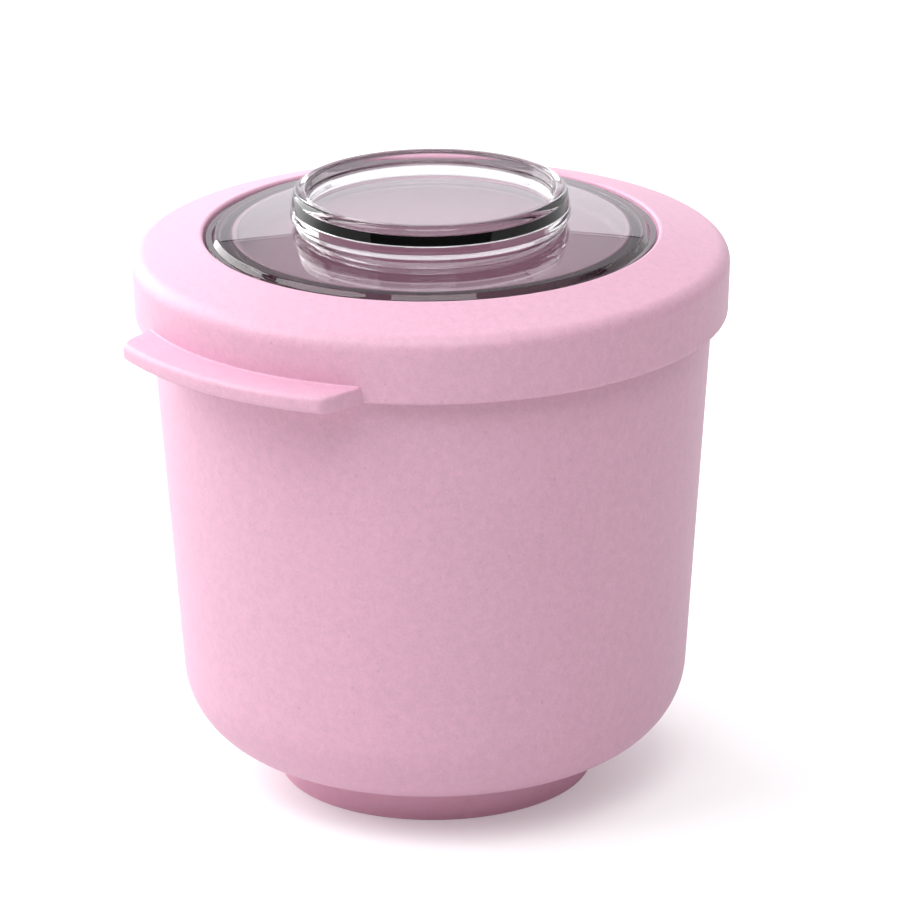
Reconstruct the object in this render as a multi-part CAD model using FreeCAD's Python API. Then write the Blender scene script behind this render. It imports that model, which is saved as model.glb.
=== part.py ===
import FreeCAD, Part
import math
import os
from FreeCAD import Vector

# Hand-turned ice cream maker: an insulated pot, a freezer bowl that drops into it, a press-on lid,
# and a clear domed knob that turns a scraping paddle inside the bowl.
# Millimetres, +Z up, origin on the floor at the centre of the foot, thumb tab towards -Y.

# Overall sizes
LID_RADIUS = 85.1
LID_BAND = 20.4
POT_RIM_HEIGHT = 146.0
LID_OVERLAP = 6.4
LID_EDGE_HEIGHT = 18.15

# Pot outside shape
POT_TAPER = 3.85
POT_CORNER_RADIUS = 41.4
UNDERSIDE_SLOPE = 22.65
ROUNDING_SHARE = 0.95
FLOOR_RADIUS = 42.6
FLOOR_HEIGHT = 6.4
LID_TO_POT_GAP = 2.0

# Walls, from the outside of the pot inwards
SHELL_WALL = 2.6
FOAM_GAP = 0.4
FOAM_THICKNESS = 3.8
LINER_WALL = 1.8
BOWL_GAP = 1.8
BOWL_WALL = 1.4
COOLANT_THICKNESS = 7.4
CUP_WALL = 1.0
LINER_FLANGE = 2.0
FOAM_TOP_GAP = 2.0

# Foot, base cover and screws
FOOT_RADIUS = 46.0
FOOT_DRAFT = 0.6
FOOT_INNER_RADIUS = 41.3
FOOT_LIP = 3.3
FOOT_LIP_THICKNESS = 1.2
COVER_THICKNESS = 2.4
COVER_GAP = 0.3
SCREW_RING_RADIUS = 28.0
SCREW_COUNT = 4
SCREW_RADIUS = 1.5
SCREW_HOLE_GAP = 0.2
SCREW_HEAD_RADIUS = 2.8
SCREW_HEAD_HEIGHT = 1.8
SCREW_BITE = 5.0
PILOT_EXTRA = 0.4
BOSS_RADIUS = 4.0
BOSS_GAP = 0.6
PAD_RADIUS = 5.0
PAD_COUNT = 4

# Freezer bowl
BOWL_RIM_THICKNESS = 2.6
BOWL_RIM_LAP = 4.5
TONGUE_HEIGHT = 7.0
TONGUE_GAP = 0.2
AIR_SPACE = 3.0
SEAL_HEIGHT = 2.0
SEAL_THICKNESS = 1.4
SEAL_DROP = 3.5
PLUG_BOSS_RADIUS = 11.0
PLUG_BOSS_HEIGHT = 5.2
PLUG_HEAD_RADIUS = 7.8
PLUG_HEAD_HEIGHT = 1.3
PLUG_STEM_RADIUS = 5.0
PLUG_RECESS_GAP = 0.4
PLUG_SEAL_THICKNESS = 0.8
PLUG_SLOT_WIDTH = 1.6
PLUG_SLOT_DEPTH = 0.7
NUB_RADIUS = 4.5
NUB_HEIGHT = 5.0

# Lid
LID_DRAFT = 1.9
LID_SLOPE = 15.3
LID_WALL = 2.4
LID_SHOULDER_RADIUS = 4.8
LIP_ROUND = 0.9
LEDGE_DEPTH = 4.7
LEDGE_WIDTH = 4.1
LEDGE_THICKNESS = 2.2
COLLAR_WALL = 2.5
RIB_WALL = 2.4
GASKET_WALL = 1.0
GASKET_SOLE = 2.6
GASKET_HEIGHT = 5.4
TAB_REACH = 11.1
TAB_THICKNESS = 4.8
TAB_ROOT_ANGLE = 27.8
TAB_TIP_ANGLE = 23.5
TAB_CORNER_RADIUS = 3.5
TAB_EDGE_RADIUS = 1.4

# Clear knob
KNOB_GAP = 0.5
GLIDE_THICKNESS = 0.8
GLIDE_BUSH_WALL = 1.0
RUNNING_GAP = 0.3
FLANGE_RECESS = 1.2
FLANGE_STEP = 1.9
SHOULDER_WIDTH = 1.3
CROWN_EDGE_RISE = 0.4
CROWN_RADIUS = 679.0
DOME_THICKNESS = 2.8
KNOB_SKIRT_WALL = 2.6
GRIP_RADIUS = 38.8
GRIP_HEIGHT = 9.3
GRIP_WALL = 3.5
GRIP_ROUND = 1.7
GRIP_LEDGE_OUT = 1.2
GRIP_LEDGE_HEIGHT = 1.7
GRIP_NECK_IN = 1.4
GRIP_SINK = 1.4
GRIP_RECESS = 3.6
GRIP_FLOOR_THICKNESS = 2.8
GRIP_FILLET = 0.8

# Disc under the dome, drive hub and paddle
AXIAL_PLAY = 0.5
DISC_THICKNESS = 2.3
DISC_FLANGE_OVERLAP = 2.4
DISC_RIM_WALL = 1.7
DISC_SEAL_THICKNESS = 1.7
DISC_FILLET = 3.0
DISC_BOSS_RADIUS = 18.5
DISC_BOSS_HEIGHT = 4.0
HUB_FLANGE_RADIUS = 17.0
HUB_FLANGE_THICKNESS = 2.0
HUB_RADIUS = 10.0
HUB_LENGTH = 27.0
HUB_SCREW_COUNT = 3
HUB_SCREW_RING = 13.5
HUB_SCREW_BITE = 3.2
SHANK_WIDTH = 9.8
SHANK_GAP = 0.1
SHANK_LENGTH = 22.0
PIN_RADIUS = 1.5
PIN_GAP = 0.1
PIN_HEAD_RADIUS = 2.6
PIN_HEAD_LENGTH = 1.4
PIN_RISE = 8.0
BLADE_GAP = 0.5
BLADE_WIDTH = 5.0
BLADE_THICKNESS = 1.6
ARM_WIDTH = 7.0
ARM_THICKNESS = 3.2
BAR_HEIGHT = 8.0
BAR_HUB_GAP = 1.0
PIVOT_RADIUS = 10.0
PIVOT_GAP = 0.5
PIVOT_FLOOR_GAP = 1.0
BLADE_CENTRE_GAP = 2.0

def crown_drop(radius, sphere):
    """How far a shallow spherical crown falls below its top at a radius."""
    return sphere - math.sqrt(sphere * sphere - radius * radius)


# Levels worked out from the sizes above
SKIRT_BOTTOM = POT_RIM_HEIGHT - LID_OVERLAP
LID_CORNER_HEIGHT = SKIRT_BOTTOM + LID_EDGE_HEIGHT
OPENING_RADIUS = LID_RADIUS - LID_BAND
LIP_HEIGHT = LID_CORNER_HEIGHT + LID_BAND * math.tan(math.radians(LID_SLOPE))
LEDGE_TOP = LIP_HEIGHT - LEDGE_DEPTH
LEDGE_BOTTOM = LEDGE_TOP - LEDGE_THICKNESS
LEDGE_RADIUS = OPENING_RADIUS - LEDGE_WIDTH
SKIRT_BOTTOM_RADIUS = LID_RADIUS - LID_EDGE_HEIGHT * math.tan(math.radians(LID_DRAFT))
SEAM_RADIUS = SKIRT_BOTTOM_RADIUS - LID_WALL - LID_TO_POT_GAP
COVER_BOTTOM = FLOOR_HEIGHT - COVER_THICKNESS

# Depths of each surface below the outside of the pot
SHELL_IN = SHELL_WALL
FOAM_OUT = SHELL_IN + FOAM_GAP
FOAM_IN = FOAM_OUT + FOAM_THICKNESS
LINER_OUT = FOAM_IN + FOAM_GAP
LINER_IN = LINER_OUT + LINER_WALL
BOWL_OUT = LINER_IN + BOWL_GAP
BOWL_IN = BOWL_OUT + BOWL_WALL
CUP_OUT = BOWL_IN + COOLANT_THICKNESS
CUP_IN = CUP_OUT + CUP_WALL
BLADE_OUT = CUP_IN + BLADE_GAP
ARM_OUT = BLADE_OUT + BLADE_WIDTH
ARM_IN = ARM_OUT + ARM_WIDTH

LINER_TOP = POT_RIM_HEIGHT + LINER_FLANGE
BOWL_RIM_TOP = LINER_TOP + BOWL_RIM_THICKNESS
TONGUE_BOTTOM = LINER_TOP - TONGUE_HEIGHT
BOWL_BOTTOM = FLOOR_HEIGHT + BOWL_OUT
CUP_FLOOR = FLOOR_HEIGHT + CUP_IN

FLANGE_BOTTOM = LEDGE_TOP + GLIDE_THICKNESS
FLANGE_TOP = LIP_HEIGHT - FLANGE_RECESS
KNOB_RADIUS = OPENING_RADIUS - KNOB_GAP
CROWN_EDGE = KNOB_RADIUS - FLANGE_STEP - 2 * SHOULDER_WIDTH
CROWN_HEIGHT = LIP_HEIGHT + CROWN_EDGE_RISE + crown_drop(CROWN_EDGE, CROWN_RADIUS)
BUSH_RADIUS = LEDGE_RADIUS - GLIDE_BUSH_WALL
KNOB_SKIRT_RADIUS = BUSH_RADIUS - RUNNING_GAP
KNOB_SKIRT_INNER = KNOB_SKIRT_RADIUS - KNOB_SKIRT_WALL
GRIP_TOP = CROWN_HEIGHT + GRIP_HEIGHT
GRIP_INNER = GRIP_RADIUS - GRIP_WALL
GRIP_FLOOR_TOP = GRIP_TOP - GRIP_RECESS
GRIP_FLOOR_BOTTOM = GRIP_FLOOR_TOP - GRIP_FLOOR_THICKNESS
UNDER_CROWN = CROWN_HEIGHT - DOME_THICKNESS
UNDER_EDGE = UNDER_CROWN - crown_drop(KNOB_SKIRT_INNER, CROWN_RADIUS - DOME_THICKNESS)
DISC_TOP = LEDGE_BOTTOM - AXIAL_PLAY
DISC_RIM_TOP = UNDER_EDGE - DISC_SEAL_THICKNESS
DISC_RIM_INNER = KNOB_SKIRT_INNER - DISC_RIM_WALL
DISC_BOTTOM = DISC_TOP - DISC_THICKNESS
HUB_TOP = DISC_BOTTOM - DISC_BOSS_HEIGHT
HUB_BOTTOM = HUB_TOP - HUB_LENGTH
ARM_TOP = HUB_BOTTOM - BAR_HUB_GAP
SHANK_TOP = HUB_BOTTOM + SHANK_LENGTH
PIN_HEIGHT = HUB_BOTTOM + PIN_RISE

Z_AXIS = Vector(0, 0, 1)
ORIGIN = Vector(0, 0, 0)


def tan_deg(angle):
    return math.tan(math.radians(angle))


# Outlines: lists of (radius, height, rounding) corners in the XZ plane

def corner_edges(before, corner, after):
    """Tangent points and arc that round one corner; no arc where its rounding is zero."""
    point = Vector(corner[0], 0, corner[1])
    towards = Vector(before[0], 0, before[1]) - point
    away = Vector(after[0], 0, after[1]) - point
    if corner[2] <= 0:
        return point, None, point
    towards.normalize()
    away.normalize()
    half = towards.getAngle(away) / 2
    reach = corner[2] / math.tan(half)
    bisector = towards + away
    bisector.normalize()
    middle = point + bisector * (corner[2] / math.sin(half) - corner[2])
    start = point + towards * reach
    end = point + away * reach
    return start, Part.Arc(start, middle, end).toShape(), end


def joined_edges(joints):
    """The arcs at the corners and the straight runs from each corner to the next."""
    edges = []
    for (start, arc, end), (following, _, _) in zip(joints, joints[1:]):
        if arc is not None:
            edges.append(arc)
        if end.distanceToPoint(following) > 1e-6:
            edges.append(Part.LineSegment(end, following).toShape())
    return edges


def closed_wire(corners):
    """A closed wire of straight runs and tangent arcs through a list of corners."""
    count = len(corners)
    joints = [corner_edges(corners[i - 1], corners[i], corners[(i + 1) % count]) for i in range(count)]
    return Part.Wire(Part.__sortEdges__(joined_edges(joints + joints[:1])))


def open_run(corners):
    """Edges through a list of corners, the first and last of them plain ends."""
    first = Vector(corners[0][0], 0, corners[0][1])
    last = Vector(corners[-1][0], 0, corners[-1][1])
    triples = zip(corners, corners[1:], corners[2:])
    joints = [corner_edges(*triple) for triple in triples]
    return joined_edges([(first, None, first)] + joints + [(last, None, last)])


def revolve(corners):
    """A solid of revolution about Z from a closed outline."""
    return Part.Face(closed_wire(corners)).revolve(ORIGIN, Z_AXIS, 360)


def cylinder(radius, bottom, top, x=0.0, y=0.0):
    return Part.makeCylinder(radius, top - bottom, Vector(x, y, bottom), Z_AXIS)


def ring_positions(count, radius, first_angle=0.0):
    """Evenly spaced (x, y) places on a circle."""
    angles = [math.radians(first_angle + 360.0 * i / count) for i in range(count)]
    return [(radius * math.cos(a), radius * math.sin(a)) for a in angles]


# The nested wall shape shared by the pot, its lining, the freezer bowl and the paddle

def side_radius(depth, height):
    """Radius of the straight side at a height, at a depth below the pot's outside."""
    outside = SEAM_RADIUS + (height - SKIRT_BOTTOM) * tan_deg(POT_TAPER)
    return outside - depth / math.cos(math.radians(POT_TAPER))


def nested_path(depth, top):
    """Corners from the top of the side down to the axis, at a depth below the outside."""
    floor = FLOOR_HEIGHT + depth
    slope = tan_deg(UNDERSIDE_SLOPE)
    slope_lift = FLOOR_HEIGHT + depth / math.cos(math.radians(UNDERSIDE_SLOPE))
    foot_radius = FLOOR_RADIUS + (floor - slope_lift) / slope
    side_at_zero = side_radius(depth, 0.0)
    taper = tan_deg(POT_TAPER)
    corner_height = (slope_lift + (side_at_zero - FLOOR_RADIUS) * slope) / (1 - taper * slope)
    corner_radius = side_at_zero + corner_height * taper
    slope_run = (corner_radius - foot_radius) / math.cos(math.radians(UNDERSIDE_SLOPE))
    widest = ROUNDING_SHARE * slope_run / tan_deg((90.0 - POT_TAPER - UNDERSIDE_SLOPE) / 2)
    rounding = max(min(POT_CORNER_RADIUS - depth, widest), 0.0)
    return [
        (side_radius(depth, top), top, 0.0),
        (corner_radius, corner_height, rounding),
        (foot_radius, floor, 0.0),
        (0.0, floor, 0.0),
    ]


def nested_outline(outer_depth, inner_depth, outer_top, inner_top):
    """Closed outline of the wall and floor between two depths."""
    return nested_path(outer_depth, outer_top) + nested_path(inner_depth, inner_top)[::-1]


def side_band(outer_depth, inner_depth, bottom, top):
    """A ring that follows the tapered side between two depths and two heights."""
    return revolve([
        (side_radius(outer_depth, bottom), bottom, 0.0),
        (side_radius(outer_depth, top), top, 0.0),
        (side_radius(inner_depth, top), top, 0.0),
        (side_radius(inner_depth, bottom), bottom, 0.0),
    ])


# Pot

def outer_shell():
    shell = revolve(nested_outline(0.0, SHELL_IN, POT_RIM_HEIGHT, POT_RIM_HEIGHT))
    for x, y in ring_positions(SCREW_COUNT, SCREW_RING_RADIUS, 45.0):
        hole = cylinder(SCREW_RADIUS + SCREW_HOLE_GAP, 0.0, POT_RIM_HEIGHT, x, y)
        shell = shell.cut(hole)
    return shell


def insulation_sleeve():
    top = POT_RIM_HEIGHT - FOAM_TOP_GAP
    sleeve = revolve(nested_outline(FOAM_OUT, FOAM_IN, top, top))
    for x, y in ring_positions(SCREW_COUNT, SCREW_RING_RADIUS, 45.0):
        sleeve = sleeve.cut(cylinder(BOSS_RADIUS + BOSS_GAP, 0.0, FLOOR_HEIGHT + LINER_OUT, x, y))
    return sleeve


def pot_liner():
    """Inner lining: its flange caps the outer shell and its bosses take the base screws."""
    corners = nested_path(LINER_OUT, POT_RIM_HEIGHT)[::-1]
    corners.append((side_radius(0.0, POT_RIM_HEIGHT), POT_RIM_HEIGHT, 0.0))
    corners.append((side_radius(0.0, POT_RIM_HEIGHT), LINER_TOP, LINER_FLANGE / 2))
    corners += nested_path(LINER_IN, LINER_TOP)
    liner = revolve(corners)
    boss_bottom = FLOOR_HEIGHT + SHELL_IN
    liner_floor = FLOOR_HEIGHT + LINER_OUT
    for x, y in ring_positions(SCREW_COUNT, SCREW_RING_RADIUS, 45.0):
        liner = liner.fuse(cylinder(BOSS_RADIUS, boss_bottom, liner_floor, x, y))
    for x, y in ring_positions(SCREW_COUNT, SCREW_RING_RADIUS, 45.0):
        pilot_top = boss_bottom + SCREW_BITE + PILOT_EXTRA
        liner = liner.cut(cylinder(SCREW_RADIUS, boss_bottom, pilot_top, x, y))
    return liner.removeSplitter()


def rest_pads():
    """Soft pads on the lining's floor that the freezer bowl stands on."""
    bottom = FLOOR_HEIGHT + LINER_IN
    places = ring_positions(PAD_COUNT, SCREW_RING_RADIUS)
    return Part.makeCompound([cylinder(PAD_RADIUS, bottom, BOWL_BOTTOM, x, y) for x, y in places])


def base_cover():
    step = FLOOR_HEIGHT - FOOT_LIP_THICKNESS
    rim = FOOT_INNER_RADIUS - COVER_GAP
    seat = FOOT_INNER_RADIUS - FOOT_LIP - COVER_GAP
    cover = revolve([
        (0.0, COVER_BOTTOM, 0.0),
        (rim, COVER_BOTTOM, COVER_GAP),
        (rim, step, 0.0),
        (seat, step, 0.0),
        (seat, FLOOR_HEIGHT, 0.0),
        (0.0, FLOOR_HEIGHT, 0.0),
    ])
    for x, y in ring_positions(SCREW_COUNT, SCREW_RING_RADIUS, 45.0):
        cover = cover.cut(cylinder(SCREW_RADIUS + SCREW_HOLE_GAP, 0.0, POT_RIM_HEIGHT, x, y))
    return cover


def screw(seat_height, tip_height, x, y):
    """A pan-head screw driven upwards, its head under the seat."""
    head_bottom = seat_height - SCREW_HEAD_HEIGHT
    head = cylinder(SCREW_HEAD_RADIUS, head_bottom, seat_height, x, y)
    shank = cylinder(SCREW_RADIUS, seat_height, tip_height, x, y)
    drive = cylinder(SCREW_RADIUS, head_bottom, head_bottom + SCREW_HEAD_HEIGHT / 2, x, y)
    return head.fuse(shank).cut(drive).removeSplitter()


def base_screws():
    tip = FLOOR_HEIGHT + SHELL_IN + SCREW_BITE
    places = ring_positions(SCREW_COUNT, SCREW_RING_RADIUS, 45.0)
    return Part.makeCompound([screw(COVER_BOTTOM, tip, x, y) for x, y in places])


def foot_ring():
    """Soft foot: a ring with an inward lip clamped between the base cover and the shell."""
    slope_top = FLOOR_HEIGHT + (FOOT_RADIUS - FLOOR_RADIUS) * tan_deg(UNDERSIDE_SLOPE)
    lip_bottom = FLOOR_HEIGHT - FOOT_LIP_THICKNESS
    lip_radius = FOOT_INNER_RADIUS - FOOT_LIP
    return revolve([
        (FOOT_RADIUS - FOOT_DRAFT, 0.0, FOOT_DRAFT),
        (FOOT_RADIUS, slope_top, 0.0),
        (FLOOR_RADIUS, FLOOR_HEIGHT, 0.0),
        (lip_radius, FLOOR_HEIGHT, 0.0),
        (lip_radius, lip_bottom, 0.0),
        (FOOT_INNER_RADIUS, lip_bottom, 0.0),
        (FOOT_INNER_RADIUS, 0.0, FOOT_DRAFT),
    ])


# Freezer bowl

def bowl_shell():
    shell = revolve(nested_outline(BOWL_OUT, BOWL_IN, LINER_TOP, LINER_TOP))
    boss = cylinder(PLUG_BOSS_RADIUS, BOWL_BOTTOM, BOWL_BOTTOM + PLUG_BOSS_HEIGHT)
    recess = cylinder(
        PLUG_HEAD_RADIUS + PLUG_RECESS_GAP,
        BOWL_BOTTOM,
        BOWL_BOTTOM + PLUG_HEAD_HEIGHT + PLUG_SEAL_THICKNESS,
    )
    hole = cylinder(PLUG_STEM_RADIUS, BOWL_BOTTOM, BOWL_BOTTOM + PLUG_BOSS_HEIGHT)
    return shell.fuse(boss).cut(recess).cut(hole).removeSplitter()


def bowl_cup():
    """Thin metal cup with a raised nub that centres the foot of the paddle."""
    cup = revolve(nested_outline(CUP_OUT, CUP_IN, LINER_TOP, LINER_TOP))
    nub = revolve([
        (0.0, CUP_FLOOR - CUP_WALL / 2, 0.0),
        (NUB_RADIUS, CUP_FLOOR - CUP_WALL / 2, 0.0),
        (NUB_RADIUS, CUP_FLOOR + NUB_HEIGHT, NUB_RADIUS / 3),
        (0.0, CUP_FLOOR + NUB_HEIGHT, 0.0),
    ])
    return cup.fuse(nub).removeSplitter()


def coolant_gel():
    """Freezing gel sealed between the bowl's two walls, with an air space above it."""
    top = TONGUE_BOTTOM - AIR_SPACE
    gel = revolve(nested_outline(BOWL_IN, CUP_OUT, top, top))
    return gel.cut(cylinder(PLUG_BOSS_RADIUS, BOWL_BOTTOM, BOWL_BOTTOM + PLUG_BOSS_HEIGHT))


def seal_heights():
    top = LINER_TOP - SEAL_DROP
    return top - SEAL_HEIGHT, top


def rim_seal_outer():
    bottom, top = seal_heights()
    return side_band(BOWL_IN, BOWL_IN + SEAL_THICKNESS, bottom, top)


def rim_seal_inner():
    bottom, top = seal_heights()
    return side_band(CUP_OUT - SEAL_THICKNESS, CUP_OUT, bottom, top)


def bowl_rim():
    """Collar that joins the two walls: a flange on top and a tongue between them."""
    flange = revolve([
        (side_radius(CUP_IN, LINER_TOP), LINER_TOP, 0.0),
        (side_radius(LINER_IN, LINER_TOP) + BOWL_RIM_LAP, LINER_TOP, 0.0),
        (side_radius(LINER_IN, LINER_TOP) + BOWL_RIM_LAP, BOWL_RIM_TOP, BOWL_RIM_THICKNESS / 3),
        (side_radius(CUP_IN, LINER_TOP), BOWL_RIM_TOP, BOWL_RIM_THICKNESS / 3),
    ])
    tongue = side_band(BOWL_IN + TONGUE_GAP, CUP_OUT - TONGUE_GAP, TONGUE_BOTTOM, LINER_TOP)
    return flange.fuse(tongue).cut(rim_seal_outer()).cut(rim_seal_inner()).removeSplitter()


def fill_plug():
    """Slotted plug that closes the gel's filling hole, flush with the underside."""
    head_top = BOWL_BOTTOM + PLUG_HEAD_HEIGHT
    head = cylinder(PLUG_HEAD_RADIUS, BOWL_BOTTOM, head_top)
    stem = cylinder(PLUG_STEM_RADIUS, head_top, BOWL_BOTTOM + PLUG_BOSS_HEIGHT)
    slot = Part.makeBox(
        2 * PLUG_STEM_RADIUS,
        PLUG_SLOT_WIDTH,
        PLUG_SLOT_DEPTH,
        Vector(-PLUG_STEM_RADIUS, -PLUG_SLOT_WIDTH / 2, BOWL_BOTTOM),
    )
    return head.fuse(stem).cut(slot).removeSplitter()


def plug_seal():
    bottom = BOWL_BOTTOM + PLUG_HEAD_HEIGHT
    washer = cylinder(PLUG_HEAD_RADIUS, bottom, bottom + PLUG_SEAL_THICKNESS)
    return washer.cut(cylinder(PLUG_STEM_RADIUS, bottom, bottom + PLUG_SEAL_THICKNESS))


# Lid

def lid_underside(radius):
    """Height of the lid's inner face at a radius."""
    top = LID_CORNER_HEIGHT + (LID_RADIUS - radius) * tan_deg(LID_SLOPE)
    return top - LID_WALL / math.cos(math.radians(LID_SLOPE))


def skirt_inner_radius(height):
    outside = SKIRT_BOTTOM_RADIUS + (height - SKIRT_BOTTOM) * tan_deg(LID_DRAFT)
    return outside - LID_WALL / math.cos(math.radians(LID_DRAFT))


def rib_radii():
    """Inner and outer radius of the rib that carries the gasket over the bowl's rim."""
    inner = side_radius(BOWL_OUT, LINER_TOP)
    return inner, inner + RIB_WALL


def rib_bottom():
    return BOWL_RIM_TOP + GASKET_SOLE


def lid_tab():
    """Thumb tab on the skirt: a flat ring sector with slanted ends and rounded corners."""
    root = SKIRT_BOTTOM_RADIUS - LID_WALL / 2
    tip = LID_RADIUS + TAB_REACH

    def at(radius, angle):
        turn = math.radians(angle - 90.0)
        return Vector(radius * math.cos(turn), radius * math.sin(turn), SKIRT_BOTTOM)

    corners = [
        at(root, -TAB_ROOT_ANGLE),
        at(tip, -TAB_TIP_ANGLE),
        at(tip, TAB_TIP_ANGLE),
        at(root, TAB_ROOT_ANGLE),
    ]
    edges = [
        Part.LineSegment(corners[0], corners[1]).toShape(),
        Part.Arc(corners[1], at(tip, 0.0), corners[2]).toShape(),
        Part.LineSegment(corners[2], corners[3]).toShape(),
        Part.Arc(corners[3], at(root, 0.0), corners[0]).toShape(),
    ]
    tab = Part.Face(Part.Wire(edges)).extrude(Vector(0, 0, TAB_THICKNESS))
    upright = [e for e in tab.Edges if is_upright(e) and radius_of(e) > SKIRT_BOTTOM_RADIUS]
    tab = tab.makeFillet(TAB_CORNER_RADIUS, upright)
    rim = [e for e in tab.Edges if is_level(e, SKIRT_BOTTOM + TAB_THICKNESS) and is_free(e, root)]
    return tab.makeFillet(TAB_EDGE_RADIUS, rim)


def is_upright(edge):
    first, last = edge.Vertexes[0].Point, edge.Vertexes[-1].Point
    return abs(first.x - last.x) < 1e-6 and abs(first.y - last.y) < 1e-6


def is_level(edge, height):
    return edge.BoundBox.ZMin > height - 1e-6


def is_free(edge, root):
    """True for the tab's outer edges, which leave the arc buried in the skirt."""
    return abs(radius_of(edge) - root) > 1e-3


def radius_of(edge):
    middle = edge.valueAt((edge.FirstParameter + edge.LastParameter) / 2)
    return math.hypot(middle.x, middle.y)


def lid():
    collar = OPENING_RADIUS + COLLAR_WALL
    rib_in, rib_out = rib_radii()
    inner_corner_height = lid_underside(skirt_inner_radius(LID_CORNER_HEIGHT - LID_WALL))
    shell = revolve([
        (SKIRT_BOTTOM_RADIUS, SKIRT_BOTTOM, LIP_ROUND),
        (LID_RADIUS, LID_CORNER_HEIGHT, LID_SHOULDER_RADIUS),
        (OPENING_RADIUS, LIP_HEIGHT, LIP_ROUND),
        (OPENING_RADIUS, LEDGE_TOP, 0.0),
        (LEDGE_RADIUS, LEDGE_TOP, 0.0),
        (LEDGE_RADIUS, LEDGE_BOTTOM, 0.0),
        (collar, LEDGE_BOTTOM, 0.0),
        (collar, lid_underside(collar), 0.0),
        (rib_in, lid_underside(rib_in), 0.0),
        (rib_in, rib_bottom(), 0.0),
        (rib_out, rib_bottom(), 0.0),
        (rib_out, lid_underside(rib_out), 0.0),
        (skirt_inner_radius(inner_corner_height), inner_corner_height, LID_SHOULDER_RADIUS - LID_WALL),
        (skirt_inner_radius(SKIRT_BOTTOM), SKIRT_BOTTOM, LIP_ROUND / 2),
    ])
    return shell.fuse(lid_tab()).removeSplitter()


def lid_gasket():
    """Soft U-section ring pushed over the rib, with its sole on the bowl's rim."""
    rib_in, rib_out = rib_radii()
    inner = rib_in - GASKET_WALL
    outer = rib_out + GASKET_WALL
    top = BOWL_RIM_TOP + GASKET_HEIGHT
    return revolve([
        (inner, BOWL_RIM_TOP, GASKET_WALL / 2),
        (outer, BOWL_RIM_TOP, GASKET_WALL / 2),
        (outer, top, 0.0),
        (rib_out, top, 0.0),
        (rib_out, rib_bottom(), 0.0),
        (rib_in, rib_bottom(), 0.0),
        (rib_in, top, 0.0),
        (inner, top, 0.0),
    ])


def glide_ring():
    """Slippery L-section ring on the ledge that the knob turns on and in."""
    outer = OPENING_RADIUS - KNOB_GAP
    return revolve([
        (BUSH_RADIUS, LEDGE_BOTTOM, 0.0),
        (LEDGE_RADIUS, LEDGE_BOTTOM, 0.0),
        (LEDGE_RADIUS, LEDGE_TOP, 0.0),
        (outer, LEDGE_TOP, 0.0),
        (outer, FLANGE_BOTTOM, 0.0),
        (BUSH_RADIUS, FLANGE_BOTTOM, 0.0),
    ])


# Clear knob

def crown_arc(height, edge_radius, sphere):
    """The arc of a crown, from its edge to its top on the axis."""
    circle = Part.Circle(Vector(0, 0, height - sphere), Vector(0, -1, 0), sphere)
    top = circle.parameter(Vector(0, 0, height))
    edge = circle.parameter(Vector(edge_radius, 0, height - crown_drop(edge_radius, sphere)))
    return Part.ArcOfCircle(circle, min(top, edge), max(top, edge)).toShape()


def dome():
    """The knob's clear cover: a crowned sheet with a stepped flange and a skirt below it."""
    step = KNOB_RADIUS - FLANGE_STEP
    shoulder_height = CROWN_HEIGHT - crown_drop(step - SHOULDER_WIDTH, CROWN_RADIUS)
    run = open_run([
        (CROWN_EDGE, LIP_HEIGHT + CROWN_EDGE_RISE, 0.0),
        (step - SHOULDER_WIDTH, shoulder_height, SHOULDER_WIDTH / 2),
        (step, FLANGE_TOP, SHOULDER_WIDTH / 4),
        (KNOB_RADIUS, FLANGE_TOP, KNOB_GAP),
        (KNOB_RADIUS, FLANGE_BOTTOM, 0.0),
        (KNOB_SKIRT_RADIUS, FLANGE_BOTTOM, 0.0),
        (KNOB_SKIRT_RADIUS, DISC_TOP, 0.0),
        (KNOB_SKIRT_INNER, DISC_TOP, 0.0),
        (KNOB_SKIRT_INNER, UNDER_EDGE, 0.0),
    ])
    crown = crown_arc(CROWN_HEIGHT, CROWN_EDGE, CROWN_RADIUS)
    under = crown_arc(UNDER_CROWN, KNOB_SKIRT_INNER, CROWN_RADIUS - DOME_THICKNESS)
    axis = Part.LineSegment(Vector(0, 0, CROWN_HEIGHT), Vector(0, 0, UNDER_CROWN)).toShape()
    outline = Part.Wire(Part.__sortEdges__([crown, under, axis] + run))
    return Part.Face(outline).revolve(ORIGIN, Z_AXIS, 360)


def grip():
    """Grip that stands on the dome: a ring undercut below a rounded ledge, closed by a recessed floor."""
    root = CROWN_HEIGHT - crown_drop(GRIP_RADIUS, CROWN_RADIUS) - GRIP_SINK
    neck = GRIP_RADIUS - GRIP_NECK_IN
    return revolve([
        (neck - GRIP_SINK, root, 0.0),
        (GRIP_RADIUS + GRIP_LEDGE_OUT, CROWN_HEIGHT + GRIP_LEDGE_HEIGHT, GRIP_LEDGE_OUT),
        (GRIP_RADIUS, GRIP_TOP, GRIP_ROUND),
        (GRIP_INNER, GRIP_TOP, GRIP_ROUND),
        (GRIP_INNER, GRIP_FLOOR_TOP, GRIP_FILLET),
        (0.0, GRIP_FLOOR_TOP, 0.0),
        (0.0, GRIP_FLOOR_BOTTOM, 0.0),
        (GRIP_INNER, GRIP_FLOOR_BOTTOM, 0.0),
        (GRIP_INNER, root, 0.0),
    ])


def clear_knob():
    """The dome and its grip in one moulding, hollow from below up to the grip's floor."""
    hollow = cylinder(GRIP_INNER, DISC_TOP, GRIP_FLOOR_BOTTOM)
    return dome().fuse(grip()).cut(hollow).removeSplitter()


def hub_screw_places():
    return ring_positions(HUB_SCREW_COUNT, HUB_SCREW_RING, 90.0)


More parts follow.
